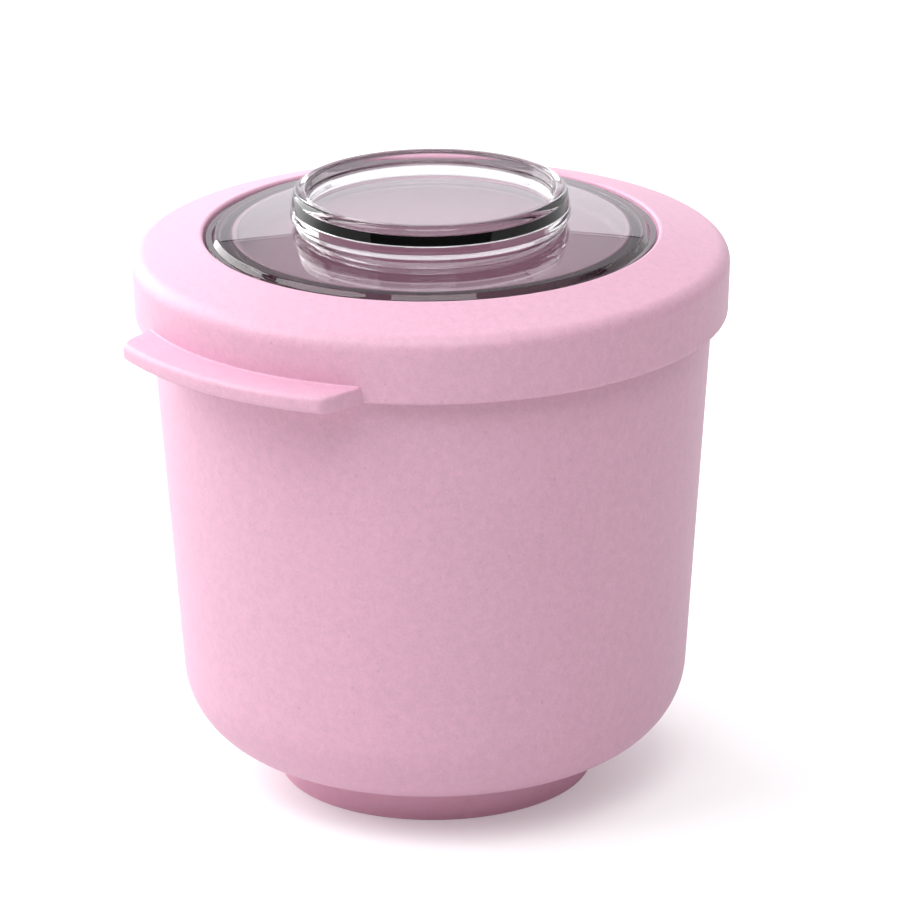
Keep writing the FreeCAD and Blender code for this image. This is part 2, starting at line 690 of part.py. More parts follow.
def knob_disc():
    """Disc under the dome: it holds the knob in the lid and carries the drive hub."""
    outer = LEDGE_RADIUS + DISC_FLANGE_OVERLAP
    disc = revolve([
        (0.0, HUB_TOP, 0.0),
        (DISC_BOSS_RADIUS, HUB_TOP, 0.0),
        (DISC_BOSS_RADIUS, DISC_BOTTOM, 0.0),
        (outer, DISC_BOTTOM, 0.0),
        (outer, DISC_TOP, 0.0),
        (KNOB_SKIRT_INNER, DISC_TOP, 0.0),
        (KNOB_SKIRT_INNER, DISC_RIM_TOP, 0.0),
        (DISC_RIM_INNER, DISC_RIM_TOP, 0.0),
        (DISC_RIM_INNER, DISC_TOP, DISC_FILLET),
        (0.0, DISC_TOP, 0.0),
    ])
    for x, y in hub_screw_places():
        disc = disc.cut(cylinder(SCREW_RADIUS, HUB_TOP, HUB_TOP + HUB_SCREW_BITE + PILOT_EXTRA, x, y))
    return disc


def disc_seal():
    """Soft ring that closes the air space between the disc's rim and the dome."""
    ring = cylinder(KNOB_SKIRT_INNER, DISC_RIM_TOP, UNDER_EDGE)
    return ring.cut(cylinder(DISC_RIM_INNER, DISC_RIM_TOP, UNDER_EDGE))


def square_bar(width, bottom, top):
    return Part.makeBox(width, width, top - bottom, Vector(-width / 2, -width / 2, bottom))


def cross_cylinder(radius, start, end):
    """A cylinder along Y at the height of the paddle's pin."""
    return Part.makeCylinder(radius, end - start, Vector(0, start, PIN_HEIGHT), Vector(0, 1, 0))


def drive_hub():
    """Flanged hub with a square socket for the paddle's shank and a cross hole for its pin."""
    flange = cylinder(HUB_FLANGE_RADIUS, HUB_TOP - HUB_FLANGE_THICKNESS, HUB_TOP)
    hub = flange.fuse(cylinder(HUB_RADIUS, HUB_BOTTOM, HUB_TOP))
    hub = hub.cut(square_bar(SHANK_WIDTH + 2 * SHANK_GAP, HUB_BOTTOM, SHANK_TOP + SHANK_GAP))
    hub = hub.cut(cross_cylinder(PIN_RADIUS + PIN_GAP, -HUB_RADIUS, HUB_RADIUS))
    for x, y in hub_screw_places():
        hub = hub.cut(cylinder(SCREW_RADIUS + SCREW_HOLE_GAP, HUB_BOTTOM, HUB_TOP, x, y))
    return hub.removeSplitter()


def hub_screws():
    seat = HUB_TOP - HUB_FLANGE_THICKNESS
    tip = HUB_TOP + HUB_SCREW_BITE
    return Part.makeCompound([screw(seat, tip, x, y) for x, y in hub_screw_places()])


def flat_between(outer_depth, inner_depth, top, thickness):
    """A flat plate on both sides of the axis that follows the bowl between two depths."""
    face = Part.Face(closed_wire(nested_outline(outer_depth, inner_depth, top, top)))
    half = face.extrude(Vector(0, thickness, 0))
    half.translate(Vector(0, -thickness / 2, 0))
    other = half.mirror(ORIGIN, Vector(1, 0, 0))
    return half.fuse(other).removeSplitter()


def paddle():
    """Dasher frame: two arms along the bowl's wall, a cross bar, a square shank and a foot."""
    frame = flat_between(ARM_OUT, ARM_IN, ARM_TOP, ARM_THICKNESS)
    bar_half = side_radius(ARM_OUT, ARM_TOP - BAR_HEIGHT)
    bar = Part.makeBox(
        2 * bar_half,
        ARM_THICKNESS,
        BAR_HEIGHT,
        Vector(-bar_half, -ARM_THICKNESS / 2, ARM_TOP - BAR_HEIGHT),
    )
    collar = cylinder(HUB_RADIUS, ARM_TOP - BAR_HEIGHT, ARM_TOP)
    shank = square_bar(SHANK_WIDTH, ARM_TOP, SHANK_TOP)
    foot = cylinder(PIVOT_RADIUS, CUP_FLOOR + PIVOT_FLOOR_GAP, FLOOR_HEIGHT + ARM_IN)
    socket = cylinder(NUB_RADIUS + PIVOT_GAP, CUP_FLOOR, CUP_FLOOR + NUB_HEIGHT + PIVOT_GAP)
    pin_hole = cross_cylinder(PIN_RADIUS + PIN_GAP, -HUB_RADIUS, HUB_RADIUS)
    whole = frame.fuse([bar, collar, shank, foot])
    return whole.cut(socket).cut(pin_hole).removeSplitter()


def paddle_pin():
    shaft = cross_cylinder(PIN_RADIUS, -HUB_RADIUS, HUB_RADIUS + PIN_HEAD_LENGTH)
    head = cross_cylinder(PIN_HEAD_RADIUS, -HUB_RADIUS - PIN_HEAD_LENGTH, -HUB_RADIUS)
    return shaft.fuse(head).removeSplitter()


def scraper(side):
    """Soft blade along one arm, just clear of the cup; side is +1 or -1."""
    blade = Part.Face(closed_wire(nested_outline(BLADE_OUT, ARM_OUT, ARM_TOP, ARM_TOP)))
    blade = blade.extrude(Vector(0, BLADE_THICKNESS, 0))
    blade.translate(Vector(0, -BLADE_THICKNESS / 2, 0))
    blade = blade.cut(cylinder(PIVOT_RADIUS + BLADE_CENTRE_GAP, 0.0, ARM_TOP))
    return blade if side > 0 else blade.mirror(ORIGIN, Vector(1, 0, 0))


def nodes():
    """Every sub-part by node name."""
    return {
        "outer_shell": outer_shell(),
        "insulation_sleeve": insulation_sleeve(),
        "pot_liner": pot_liner(),
        "rest_pads": rest_pads(),
        "base_cover": base_cover(),
        "base_screws": base_screws(),
        "foot_ring": foot_ring(),
        "bowl_shell": bowl_shell(),
        "bowl_cup": bowl_cup(),
        "coolant_gel": coolant_gel(),
        "rim_seal_outer": rim_seal_outer(),
        "rim_seal_inner": rim_seal_inner(),
        "bowl_rim": bowl_rim(),
        "fill_plug": fill_plug(),
        "plug_seal": plug_seal(),
        "lid": lid(),
        "lid_gasket": lid_gasket(),
        "glide_ring": glide_ring(),
        "clear_knob": clear_knob(),
        "knob_disc": knob_disc(),
        "disc_seal": disc_seal(),
        "drive_hub": drive_hub(),
        "hub_screws": hub_screws(),
        "paddle": paddle(),
        "paddle_pin": paddle_pin(),
        "scraper_right": scraper(1),
        "scraper_left": scraper(-1),
    }


os.makedirs("parts", exist_ok=True)
for name, shape in nodes().items():
    shape.exportStep(os.path.join("parts", name + ".step"))
    print(name, shape.isValid(), len(shape.Solids), round(shape.Volume, 1))
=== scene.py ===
import math

import bpy
import numpy as np
from bpy.props import FloatProperty, FloatVectorProperty, IntProperty, PointerProperty
from mathutils import Matrix, Vector


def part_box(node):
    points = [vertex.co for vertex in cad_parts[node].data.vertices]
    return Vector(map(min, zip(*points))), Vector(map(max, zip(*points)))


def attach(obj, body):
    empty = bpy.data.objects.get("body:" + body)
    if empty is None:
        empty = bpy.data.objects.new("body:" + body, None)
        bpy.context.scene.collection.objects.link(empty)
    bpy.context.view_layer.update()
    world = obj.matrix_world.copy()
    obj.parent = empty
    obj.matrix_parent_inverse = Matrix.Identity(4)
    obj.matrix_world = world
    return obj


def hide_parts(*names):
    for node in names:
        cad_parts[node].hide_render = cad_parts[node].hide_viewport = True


bl_info = {
    "name": "Ice Cream Maker",
    "version": (1, 0, 0),
    "blender": (4, 5, 0),
    "location": "3D View > Sidebar > Ice Cream Maker",
    "description": "Builds the visible pieces and finishes of a hand-turned ice cream maker",
    "category": "Object",
}

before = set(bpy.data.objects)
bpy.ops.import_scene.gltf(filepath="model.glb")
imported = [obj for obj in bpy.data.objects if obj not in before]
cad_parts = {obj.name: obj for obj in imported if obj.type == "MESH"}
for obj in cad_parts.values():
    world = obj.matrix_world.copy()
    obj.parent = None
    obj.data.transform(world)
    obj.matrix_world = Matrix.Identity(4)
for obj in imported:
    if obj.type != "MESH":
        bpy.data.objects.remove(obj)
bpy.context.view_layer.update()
MM = 0.001


def low(node):
    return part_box(node)[0]


def high(node):
    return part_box(node)[1]


# ---- Sizes and colours a user would change ----

def length(name, description, millimetres):
    return FloatProperty(name=name, description=description, default=millimetres * MM, unit="LENGTH")


def angle(name, description, degrees):
    return FloatProperty(name=name, description=description, default=math.radians(degrees), subtype="ANGLE")


def colour(name, description, value):
    return FloatVectorProperty(
        name=name, description=description, default=value, size=3, subtype="COLOR", min=0.0, max=1.0
    )


class PotSizes(bpy.types.PropertyGroup):
    """Sizes of the pot, its lining and its foot."""

    taper: angle("Taper", "Lean of the straight side from upright", 3.85)
    corner: length("Corner", "Radius of the round turn from side to underside", 41.4)
    slope: angle("Underside slope", "Rise of the underside away from the foot", 22.65)
    floor_radius: length("Floor radius", "Radius of the flat middle of the underside", 42.6)
    shell_wall: length("Shell wall", "Thickness of the outer shell", 2.6)
    liner_wall: length("Lining wall", "Thickness of the inner lining", 1.8)
    rim_round: length("Rim round", "Rounding of the lining's flange", 0.9)
    foot_round: length("Foot round", "Rounding of the foot's lower edges", 0.7)
    foot_lip: length("Foot lip", "Width of the lip clamped under the shell", 3.3)
    foot_lip_height: length("Foot lip height", "Thickness of the clamped lip", 1.2)
    foot_inner: length("Foot inner radius", "Inner radius of the foot", 41.3)
    foot_lean: length("Foot lean", "How far the foot's lower edge is set in", 0.6)
    floor_round: length("Floor round", "Rounding where the flat floor turns up", 2.0)


class BowlSizes(bpy.types.PropertyGroup):
    """Sizes of the freezer bowl."""

    wall: length("Outer wall", "Thickness of the bowl's outer wall", 1.4)
    cup_wall: length("Cup wall", "Thickness of the metal cup", 1.0)
    tongue_gap: length("Tongue gap", "Gap each side of the rim's tongue", 0.2)
    rim_round: length("Rim round", "Rounding of the rim's upper edges", 0.9)
    boss: length("Filling boss", "Radius of the boss round the filling hole", 11.0)
    recess: length("Plug recess", "Radius of the recess round the plug", 8.2)
    stem_share: FloatProperty(
        name="Stem share", description="Radius of the plug's stem as a share of its seal's", default=0.64
    )
    nub: length("Nub radius", "Radius of the nub that centres the paddle", 4.5)
    nub_height: length("Nub height", "Height of the nub above the cup's floor", 5.0)
    nub_round: length("Nub round", "Rounding of the nub's top", 1.5)


class LidSizes(bpy.types.PropertyGroup):
    """Sizes of the lid, its tab, the gasket and the glide ring."""

    draft: angle("Draft", "Lean of the skirt", 1.9)
    slope: angle("Top slope", "Rise of the top towards the opening", 15.3)
    wall: length("Wall", "Thickness of the lid", 2.4)
    edge_height: length("Edge height", "Height of the skirt up to the shoulder's corner", 18.15)
    shoulder: length("Shoulder", "Rounding between skirt and top", 4.8)
    lip_round: length("Lip round", "Rounding of the lip at the opening", 0.9)
    hem_round: length("Hem round", "Rounding of the skirt's lower edge", 1.0)
    opening_gap: length("Opening gap", "Gap between the knob and the opening", 0.5)
    collar_wall: length("Collar wall", "Thickness of the collar below the opening", 2.5)
    tab_height: length("Tab height", "Thickness of the thumb tab", 4.8)
    tab_root: angle("Tab root", "Half angle of the tab where it leaves the skirt", 27.8)
    tab_tip: angle("Tab tip", "Half angle of the tab at its outer edge", 23.5)
    tab_corner: length("Tab corner", "Reach of the tab's corner rounding seen from above", 5.6)
    tab_round: length("Tab round", "Rounding of the tab's upper edge", 1.7)
    tab_low_round: length("Tab low round", "Rounding of the tab's lower edge", 1.2)
    tab_end_round: length("Tab end round", "Rounding of the tab's top along its ends", 2.55)
    tab_fillet: length("Tab fillet", "Fillet between the tab's top and the skirt", 0.5)
    facet_gap: length("Facet gap", "How far the faceted lid's box falls short of its radius", 0.15)
    ledge_width: length("Ledge width", "Width of the ledge that carries the glide ring", 4.1)
    bush_plate: length("Glide ring plate", "Thickness of the glide ring on the ledge", 0.8)
    bush_leg: length("Glide ring leg", "Thickness of the glide ring's leg", 1.0)
    gasket_wall: length("Gasket wall", "Thickness of the gasket's walls", 1.0)
    gasket_sole: length("Gasket sole", "Thickness of the gasket's sole", 2.6)


class KnobSizes(bpy.types.PropertyGroup):
    """Sizes of the clear knob and the disc below it."""

    crown: length("Crown radius", "Radius of the dome's shallow crown", 679.0)
    thickness: length("Thickness", "Thickness of the clear dome", 2.8)
    step: length("Flange step", "Width of the flange outside the shoulder", 1.9)
    shoulder: length("Shoulder", "Width of the sloped shoulder", 1.3)
    recess: length("Flange recess", "Depth of the flange below the lid's lip", 1.2)
    skirt_wall: length("Skirt wall", "Thickness of the skirt under the dome", 2.6)
    skirt_gap: length("Skirt gap", "Gap between the skirt and the glide ring", 0.3)
    grip_radius: length("Grip radius", "Outer radius of the ring grip", 38.8)
    grip_wall: length("Grip wall", "Thickness of the ring grip", 3.5)
    grip_height: length("Grip height", "Height of the ring grip above the crown", 9.3)
    grip_ledge: length("Grip ledge", "How far the ledge stands out from the grip", 1.2)
    grip_ledge_height: length("Ledge height", "Height of the ledge's corner above the crown", 1.7)
    grip_neck: length("Grip neck", "How far the neck is set in from the grip", 1.4)
    grip_recess: length("Grip recess", "Depth of the grip's floor below its rim", 3.6)
    grip_floor: length("Grip floor", "Thickness of the grip's floor", 2.8)
    rim_outer: length("Rim outer round", "Rounding of the rim's outer edge", 2.55)
    rim_inner: length("Rim inner round", "Rounding of the rim's inner edge", 0.68)
    lip_corner: length("Lip corner", "Height of the lip's sharp corner above its rounded top", 0.23)
    disc_rim: length("Disc rim", "Thickness of the disc's raised rim", 1.7)
    disc_flange: length("Disc flange", "Thickness of the disc", 2.3)
    disc_boss: length("Disc boss", "Radius of the boss for the hub", 18.5)
    disc_corner: length("Disc corner", "Rounding inside the disc's rim", 3.0)


class Finishes(bpy.types.PropertyGroup):
    """Colours of the finishes."""

    pink: colour("Pink", "Moulded pink of the pot and lid", (0.70, 0.395, 0.525))
    fleck: colour("Fleck", "Fine plant-fibre flecks in the pink", (0.46, 0.22, 0.33))
    foot: colour("Foot", "Soft foot ring", (0.84, 0.46, 0.60))
    # Wine is taken as the disc's own colour; on the disc seal and glide ring it is painted shade, standing in
    # for the shade under the dome's flange.
    wine: colour("Wine", "Dark disc, seal and bush under the dome", (0.10, 0.028, 0.056))
    mauve: colour("Mauve", "Rim of the freezer bowl", (0.33, 0.20, 0.28))
    white: colour("White", "Inner white plastic", (0.80, 0.79, 0.77))
    seal: colour("Seal", "Soft seals", (0.70, 0.67, 0.67))
    cup: colour("Cup", "Metal of the freezing cup", (0.76, 0.76, 0.78))
    steel: colour("Steel", "Screws and pin", (0.60, 0.60, 0.61))


class StageSizes(bpy.types.PropertyGroup):
    """Place and lens of the camera, and the fineness of turned pieces."""

    distance: length("Distance", "Level distance to the camera", 1532.64)
    height: length("Height", "Height of the camera", 648.70)
    heading: angle("Heading", "Camera's place round the object", 40.8)
    yaw: angle("Yaw", "Camera's turn to the right", 0.183)
    tilt: angle("Tilt", "Camera's downward tilt", 19.819)
    roll: angle("Roll", "Camera's roll", -0.524)
    lens: FloatProperty(name="Lens", description="Focal length in millimetres", default=226.35)
    floor_size: length("Floor size", "Side of the floor", 14000.0)
    segments: IntProperty(name="Segments", description="Steps round each turned piece", default=224, min=24)


# ---- Outlines and turned surfaces ----

SOFT_EDGE = 0.18 * MM
ARC_STEP = math.radians(11.0)
ARC_RUN = 1.6 * MM
SUPPORT = 0.35 * MM

# Roundings of moulded corners, from crisp to full.
CRISP, TIGHT, SMALL = 0.3 * MM, 0.4 * MM, 0.5 * MM
EASY, SOFT, FULL = 0.6 * MM, 0.7 * MM, 0.8 * MM

# Reach over which the tab fades out of the plain skirt.
TAB_FADE = 0.25 * MM

# How far the crown's evenly spaced points stop short of the grip and the skirt.
CROWN_MARGIN, UNDER_MARGIN, SKIRT_MARGIN = 2.5 * MM, 2.0 * MM, 1.5 * MM


def corner_points(before, corner, after, rounding):
    """Points round one corner: a tangent arc of the given radius, with a point just before and after.

    The arc's reach along each side is radius / tan(half the corner's angle), and its points turn
    evenly about the centre, which lies on the bisector at radius / sin(half the angle).
    """
    towards, away = before - corner, after - corner
    run_in, run_out = np.linalg.norm(towards), np.linalg.norm(away)
    towards, away = towards / run_in, away / run_out
    half = math.acos(float(np.clip(towards @ away, -1.0, 1.0))) / 2
    if rounding <= 0 or half > math.radians(89.0):
        return corner[None]
    reach = min(rounding / math.tan(half), 0.47 * run_in, 0.47 * run_out)
    radius = reach * math.tan(half)
    bisector = (towards + away) / np.linalg.norm(towards + away)
    centre = corner + bisector * radius / math.sin(half)
    sweep = math.pi - 2 * half
    count = max(4, math.ceil(sweep / ARC_STEP), math.ceil(sweep * radius / ARC_RUN))
    t = np.linspace(0.0, 1.0, count + 1)[:, None]
    start, end = corner + towards * reach - centre, corner + away * reach - centre
    arc = centre + (np.sin((1 - t) * sweep) * start + np.sin(t * sweep) * end) / math.sin(sweep)
    lead_in = arc[0] + towards * min(SUPPORT, 0.3 * (run_in - reach))
    lead_out = arc[-1] + away * min(SUPPORT, 0.3 * (run_out - reach))
    return np.vstack([lead_in, arc, lead_out])


def outline(corners, closed):
    """(radius, height) points through corners given as (radius, height) or (radius, height, rounding).

    A corner with no rounding of its own gets the small softening that every moulded edge has.
    """
    points = np.array([c[:2] for c in corners], float)
    rounding = [c[2] if len(c) > 2 else SOFT_EDGE for c in corners]
    last = len(corners) - 1
    runs = []
    for i, point in enumerate(points):
        if not closed and i in (0, last):
            runs.append(point[None])
            continue
        runs.append(corner_points(points[i - 1], point, points[(i + 1) % len(points)], rounding[i]))
    return np.vstack(runs)


def grid_faces(rows, columns, wrap_rows):
    """Quads of a grid whose columns run round in a circle and whose rows may close as well."""
    i = np.arange(rows if wrap_rows else rows - 1)[:, None]
    j = np.arange(columns)[None]
    i2, j2 = (i + 1) % rows, (j + 1) % columns
    quads = [i * columns + j, i * columns + j2, i2 * columns + j2, i2 * columns + j]
    return np.stack([np.broadcast_to(q, (len(i), columns)) for q in quads], -1).reshape(-1, 4)


def mesh_object(name, points, faces):
    """A smooth-shaded object from points and faces, facing outwards, with its poles closed.

    The faces are turned over if the enclosed volume, the sum of each triangle's a . (b x c) / 6, is
    negative. Points that coincide at a pole are one vertex, so a quad there becomes a triangle.
    """
    keys = np.round(points / 1e-7).astype(np.int64)
    _, first, index = np.unique(keys, axis=0, return_index=True, return_inverse=True)
    points, faces = points[first], index.reshape(-1)[faces]
    a, b, c, d = (points[faces[:, k]] for k in range(4))
    volume = np.einsum("ij,ij->", a, np.cross(b, c)) + np.einsum("ij,ij->", a, np.cross(c, d))
    if volume < 0:
        faces = faces[:, ::-1]
    following = np.roll(faces, -1, axis=1)
    keep = faces != following
    polygons = [row[k].tolist() for row, k in zip(faces, keep) if k.sum() >= 3]
    mesh = bpy.data.meshes.new(name)
    mesh.from_pydata(points.tolist(), [], polygons)
    mesh.polygons.foreach_set("use_smooth", np.ones(len(mesh.polygons), bool))
    mesh.update()
    mesh.validate()
    obj = bpy.data.objects.new(name, mesh)
    bpy.context.scene.collection.objects.link(obj)
    return obj


def turned(name, profile, closed):
    """A surface of revolution: (r, z) carried round Z as (r cos t, r sin t, z)."""
    count = bpy.context.scene.maker_stage.segments
    t = np.arange(count) * 2 * math.pi / count
    r, z = profile[:, :1], profile[:, 1:]
    points = np.stack([r * np.cos(t), r * np.sin(t), np.broadcast_to(z, (len(z), count))], -1)
    return mesh_object(name, points.reshape(-1, 3), grid_faces(len(profile), count, closed))


def nested(depth, top):
    """Corners from the top of the side to the axis, at a depth inside the pot's outer surface."""
    s = bpy.context.scene.maker_pot
    taper, slope = math.tan(s.taper), math.tan(s.slope)
    rim, floor = high("outer_shell"), low("outer_shell").z
    side_at_zero = rim.x - rim.z * taper - depth / math.cos(s.taper)
    slope_lift = floor + depth / math.cos(s.slope)
    foot = s.floor_radius + (floor + depth - slope_lift) / slope
    corner_z = (slope_lift + (side_at_zero - s.floor_radius) * slope) / (1 - taper * slope)
    corner_r = side_at_zero + corner_z * taper
    return [
        (side_at_zero + top * taper, top, SMALL),
        (corner_r, corner_z, s.corner - depth),
        (foot, floor + depth, s.floor_round),
        (0.0, floor + depth),
    ]


def side_radius(depth, height):
    """Radius of the straight side at a depth inside the pot's outer surface."""
    return nested(depth, height)[0][0]


def floor_depth(node):
    """Depth of a nested node's outer floor below the pot's outer surface."""
    return low(node).z - low("outer_shell").z


# ---- Shader groups shared by the finishes ----

class Tree:
    """A small hand for adding nodes: call it with a type and socket values or links."""

    def __init__(self, tree):
        self.tree = tree

    def __call__(self, kind, settings=None, **sockets):
        node = self.tree.nodes.new(kind)
        for key, value in (settings or {}).items():
            setattr(node, key, value)
        for key, value in sockets.items():
            numbered = key[0] == "i" and key[1:].isdigit()
            socket = node.inputs[int(key[1:]) if numbered else key.replace("_", " ")]
            if isinstance(value, bpy.types.NodeSocket):
                self.tree.links.new(value, socket)
            else:
                socket.default_value = value
        return node


def new_group(name, inputs, outputs):
    """An empty node group with named float or colour sockets; returns its Tree, inputs and outputs."""
    group = bpy.data.node_groups.new(name, "ShaderNodeTree")
    kinds = {"c": "NodeSocketColor", "f": "NodeSocketFloat", "v": "NodeSocketVector"}
    for label, kind, value in inputs:
        socket = group.interface.new_socket(label, in_out="INPUT", socket_type=kinds[kind])
        socket.default_value = value
    for label, kind in outputs:
        group.interface.new_socket(label, in_out="OUTPUT", socket_type=kinds[kind])
    add = Tree(group)
    return add, add("NodeGroupInput").outputs, add("NodeGroupOutput")


def noise(add, where, scale, detail=2.0, roughness=0.5):
    node = add("ShaderNodeTexNoise", Vector=where, Scale=scale, Detail=detail, Roughness=roughness)
    return node.outputs["Fac"]


def ramp(add, value, start, end, from_value=0.0, to_value=1.0):
    """A straight, clamped change from one value to another between two inputs."""
    node = add("ShaderNodeMapRange", {"clamp": True}, Value=value)
    for key, number in zip(("From Min", "From Max", "To Min", "To Max"), (start, end, from_value, to_value)):
        node.inputs[key].default_value = number
    return node.outputs["Result"]


def blend_colour(add, factor, first, second):
    node = add("ShaderNodeMix", {"data_type": "RGBA"}, i0=factor, i6=first, i7=second)
    return node.outputs[2]


def combine(add, operation, first, second):
    return add("ShaderNodeMath", {"operation": operation}, i0=first, i1=second).outputs[0]


def fibre_group():
    """Plant-fibre plastic: a fine two-scale grain, sparse dark flecks and a faint slow drift of tone."""
    add, given, out = new_group(
        "plant_fibre",
        [("Base", "c", (0.8, 0.5, 0.6, 1)), ("Fleck", "c", (0.4, 0.2, 0.3, 1)), ("Grain", "f", 0.06),
         ("Fleck Amount", "f", 0.5), ("Roughness", "f", 0.5)],
        [("Color", "c"), ("Roughness", "f"), ("Height", "f")],
    )
    where = add("ShaderNodeTexCoord").outputs["Object"]
    fine = noise(add, where, scale=1500.0, detail=3.0, roughness=0.6)
    soft = noise(add, where, scale=420.0, detail=2.0, roughness=0.55)
    drift = noise(add, where, scale=14.0, detail=2.0, roughness=0.5)
    grain = combine(add, "ADD", combine(add, "MULTIPLY", fine, 0.6), combine(add, "MULTIPLY", soft, 0.4))
    light = ramp(add, grain, 0.3, 0.7, -1.0, 1.0)
    tone = combine(add, "MULTIPLY", light, given["Grain"])
    slow = ramp(add, drift, 0.3, 0.7, -0.012, 0.012)
    value = combine(add, "ADD", combine(add, "ADD", 1.0, tone), slow)
    shaded = add("ShaderNodeHueSaturation", Value=value, Color=given["Base"]).outputs["Color"]
    spots = add("ShaderNodeTexVoronoi", {"feature": "F1"}, Vector=where, Scale=420.0, Randomness=1.0)
    chance = add("ShaderNodeSeparateColor", Color=spots.outputs["Color"]).outputs[0]
    size = ramp(add, chance, 0.80, 1.0, 0.0, 0.26)
    fleck = ramp(add, combine(add, "SUBTRACT", size, spots.outputs["Distance"]), 0.0, 0.08)
    shown = combine(add, "MULTIPLY", fleck, given["Fleck Amount"])
    add.tree.links.new(blend_colour(add, shown, shaded, given["Fleck"]), out.inputs["Color"])
    rough = combine(add, "ADD", given["Roughness"], ramp(add, grain, 0.3, 0.7, -0.05, 0.05))
    add.tree.links.new(rough, out.inputs["Roughness"])
    height = combine(add, "ADD", grain, combine(add, "MULTIPLY", drift, 0.5))
    add.tree.links.new(height, out.inputs["Height"])
    return add.tree


def moulded_group():
    """Plain moulded plastic or rubber: faint cloudiness in tone and gloss over a fine spark texture."""
    add, given, out = new_group(
        "moulded_skin",
        [("Base", "c", (0.8, 0.8, 0.8, 1)), ("Cloud", "f", 0.03), ("Roughness", "f", 0.4),
         ("Spark Scale", "f", 900.0)],
        [("Color", "c"), ("Roughness", "f"), ("Height", "f")],
    )
    where = add("ShaderNodeTexCoord").outputs["Object"]
    cloud = ramp(add, noise(add, where, scale=60.0, detail=3.0, roughness=0.6), 0.3, 0.7, -1.0, 1.0)
    spark = add("ShaderNodeTexNoise", Vector=where, Scale=given["Spark Scale"], Detail=2.0).outputs["Fac"]
    value = combine(add, "ADD", 1.0, combine(add, "MULTIPLY", cloud, given["Cloud"]))
    add.tree.links.new(
        add("ShaderNodeHueSaturation", Value=value, Color=given["Base"]).outputs["Color"], out.inputs["Color"]
    )
    rough = combine(add, "ADD", given["Roughness"], combine(add, "MULTIPLY", cloud, 0.05))
    add.tree.links.new(rough, out.inputs["Roughness"])
    add.tree.links.new(spark, out.inputs["Height"])
    return add.tree


def spun_metal_group():
    """Spun or turned metal: fine rings that depend on the radius and height, and slow staining."""
    add, given, out = new_group(
        "spun_metal",
        [("Base", "c", (0.8, 0.8, 0.8, 1)), ("Rings", "f", 0.06), ("Roughness", "f", 0.3)],
        [("Color", "c"), ("Roughness", "f"), ("Height", "f")],
    )
    where = add("ShaderNodeTexCoord").outputs["Object"]
    parts = add("ShaderNodeSeparateXYZ", Vector=where).outputs
    square = combine(add, "ADD", combine(add, "MULTIPLY", parts[0], parts[0]),
                     combine(add, "MULTIPLY", parts[1], parts[1]))
    radius = combine(add, "POWER", square, 0.5)
    rings_at = add("ShaderNodeCombineXYZ", i0=radius, i1=0.0, i2=parts[2]).outputs[0]
    rings = noise(add, rings_at, scale=2600.0, detail=3.0, roughness=0.7)
    stain = noise(add, where, scale=45.0, detail=3.0, roughness=0.6)
    light = ramp(add, rings, 0.3, 0.7, -1.0, 1.0)
    value = combine(add, "ADD", 1.0, combine(add, "MULTIPLY", light, given["Rings"]))
    add.tree.links.new(
        add("ShaderNodeHueSaturation", Value=value, Color=given["Base"]).outputs["Color"], out.inputs["Color"]
    )
    rough = combine(add, "ADD", given["Roughness"], ramp(add, stain, 0.35, 0.7, -0.04, 0.07))
    add.tree.links.new(rough, out.inputs["Roughness"])
    add.tree.links.new(rings, out.inputs["Height"])
    return add.tree


GROUP_MAKERS = {"plant_fibre": fibre_group, "moulded_skin": moulded_group, "spun_metal": spun_metal_group}


def shared_group(name):
    return bpy.data.node_groups.get(name) or GROUP_MAKERS[name]()


def grouped_material(name, group, values, bump=0.1, bump_distance=0.05, **principled):
    """A Principled finish whose colour, roughness and bump come from one shared group."""
    material = bpy.data.materials.get(name)
    if material:
        return material
    material = bpy.data.materials.new(name)
    material.use_nodes = True
    add = Tree(material.node_tree)
    shader = material.node_tree.nodes["Principled BSDF"]
    surface = add("ShaderNodeGroup", {"node_tree": shared_group(group)})
    for key, value in values.items():
        surface.inputs[key].default_value = (*value, 1.0) if hasattr(value, "__len__") else value
    for key, value in principled.items():
        shader.inputs[key.replace("_", " ")].default_value = value
    height = surface.outputs["Height"]
    raised = add("ShaderNodeBump", Strength=bump, Distance=bump_distance * MM, Height=height)
    links = material.node_tree.links
    links.new(surface.outputs["Color"], shader.inputs["Base Color"])
    links.new(surface.outputs["Roughness"], shader.inputs["Roughness"])
    links.new(raised.outputs["Normal"], shader.inputs["Normal"])
    return material


def pink_plastic():
    f = bpy.context.scene.maker_finishes
    values = {"Base": f.pink, "Fleck": f.fleck, "Grain": 0.10, "Fleck Amount": 0.26, "Roughness": 0.46}
    return grouped_material("pink_fibre_plastic", "plant_fibre", values, 0.5, 0.04)


def foot_rubber():
    f = bpy.context.scene.maker_finishes
    values = {"Base": f.foot, "Fleck": f.fleck, "Grain": 0.05, "Fleck Amount": 0.15, "Roughness": 0.66}
    return grouped_material("foot_soft_rubber", "plant_fibre", values, 0.5, 0.04)


def mauve_plastic():
    f = bpy.context.scene.maker_finishes
    values = {"Base": f.mauve, "Cloud": 0.03, "Roughness": 0.42}
    return grouped_material("mauve_satin_plastic", "moulded_skin", values, 0.25, 0.03)


def wine_plastic():
    f = bpy.context.scene.maker_finishes
    values = {"Base": f.wine, "Cloud": 0.03, "Roughness": 0.5}
    return grouped_material("wine_satin_plastic", "moulded_skin", values, 0.25, 0.03, Specular_IOR_Level=0.25)


def white_plastic():
    f = bpy.context.scene.maker_finishes
    values = {"Base": f.white, "Cloud": 0.02, "Roughness": 0.38}
    return grouped_material("white_moulded_plastic", "moulded_skin", values, 0.25, 0.03)


def seal_silicone():
    f = bpy.context.scene.maker_finishes
    values = {"Base": f.seal, "Cloud": 0.04, "Roughness": 0.55, "Spark Scale": 600.0}
    return grouped_material("seal_silicone", "moulded_skin", values, 0.35, 0.04, Subsurface_Weight=0.15)


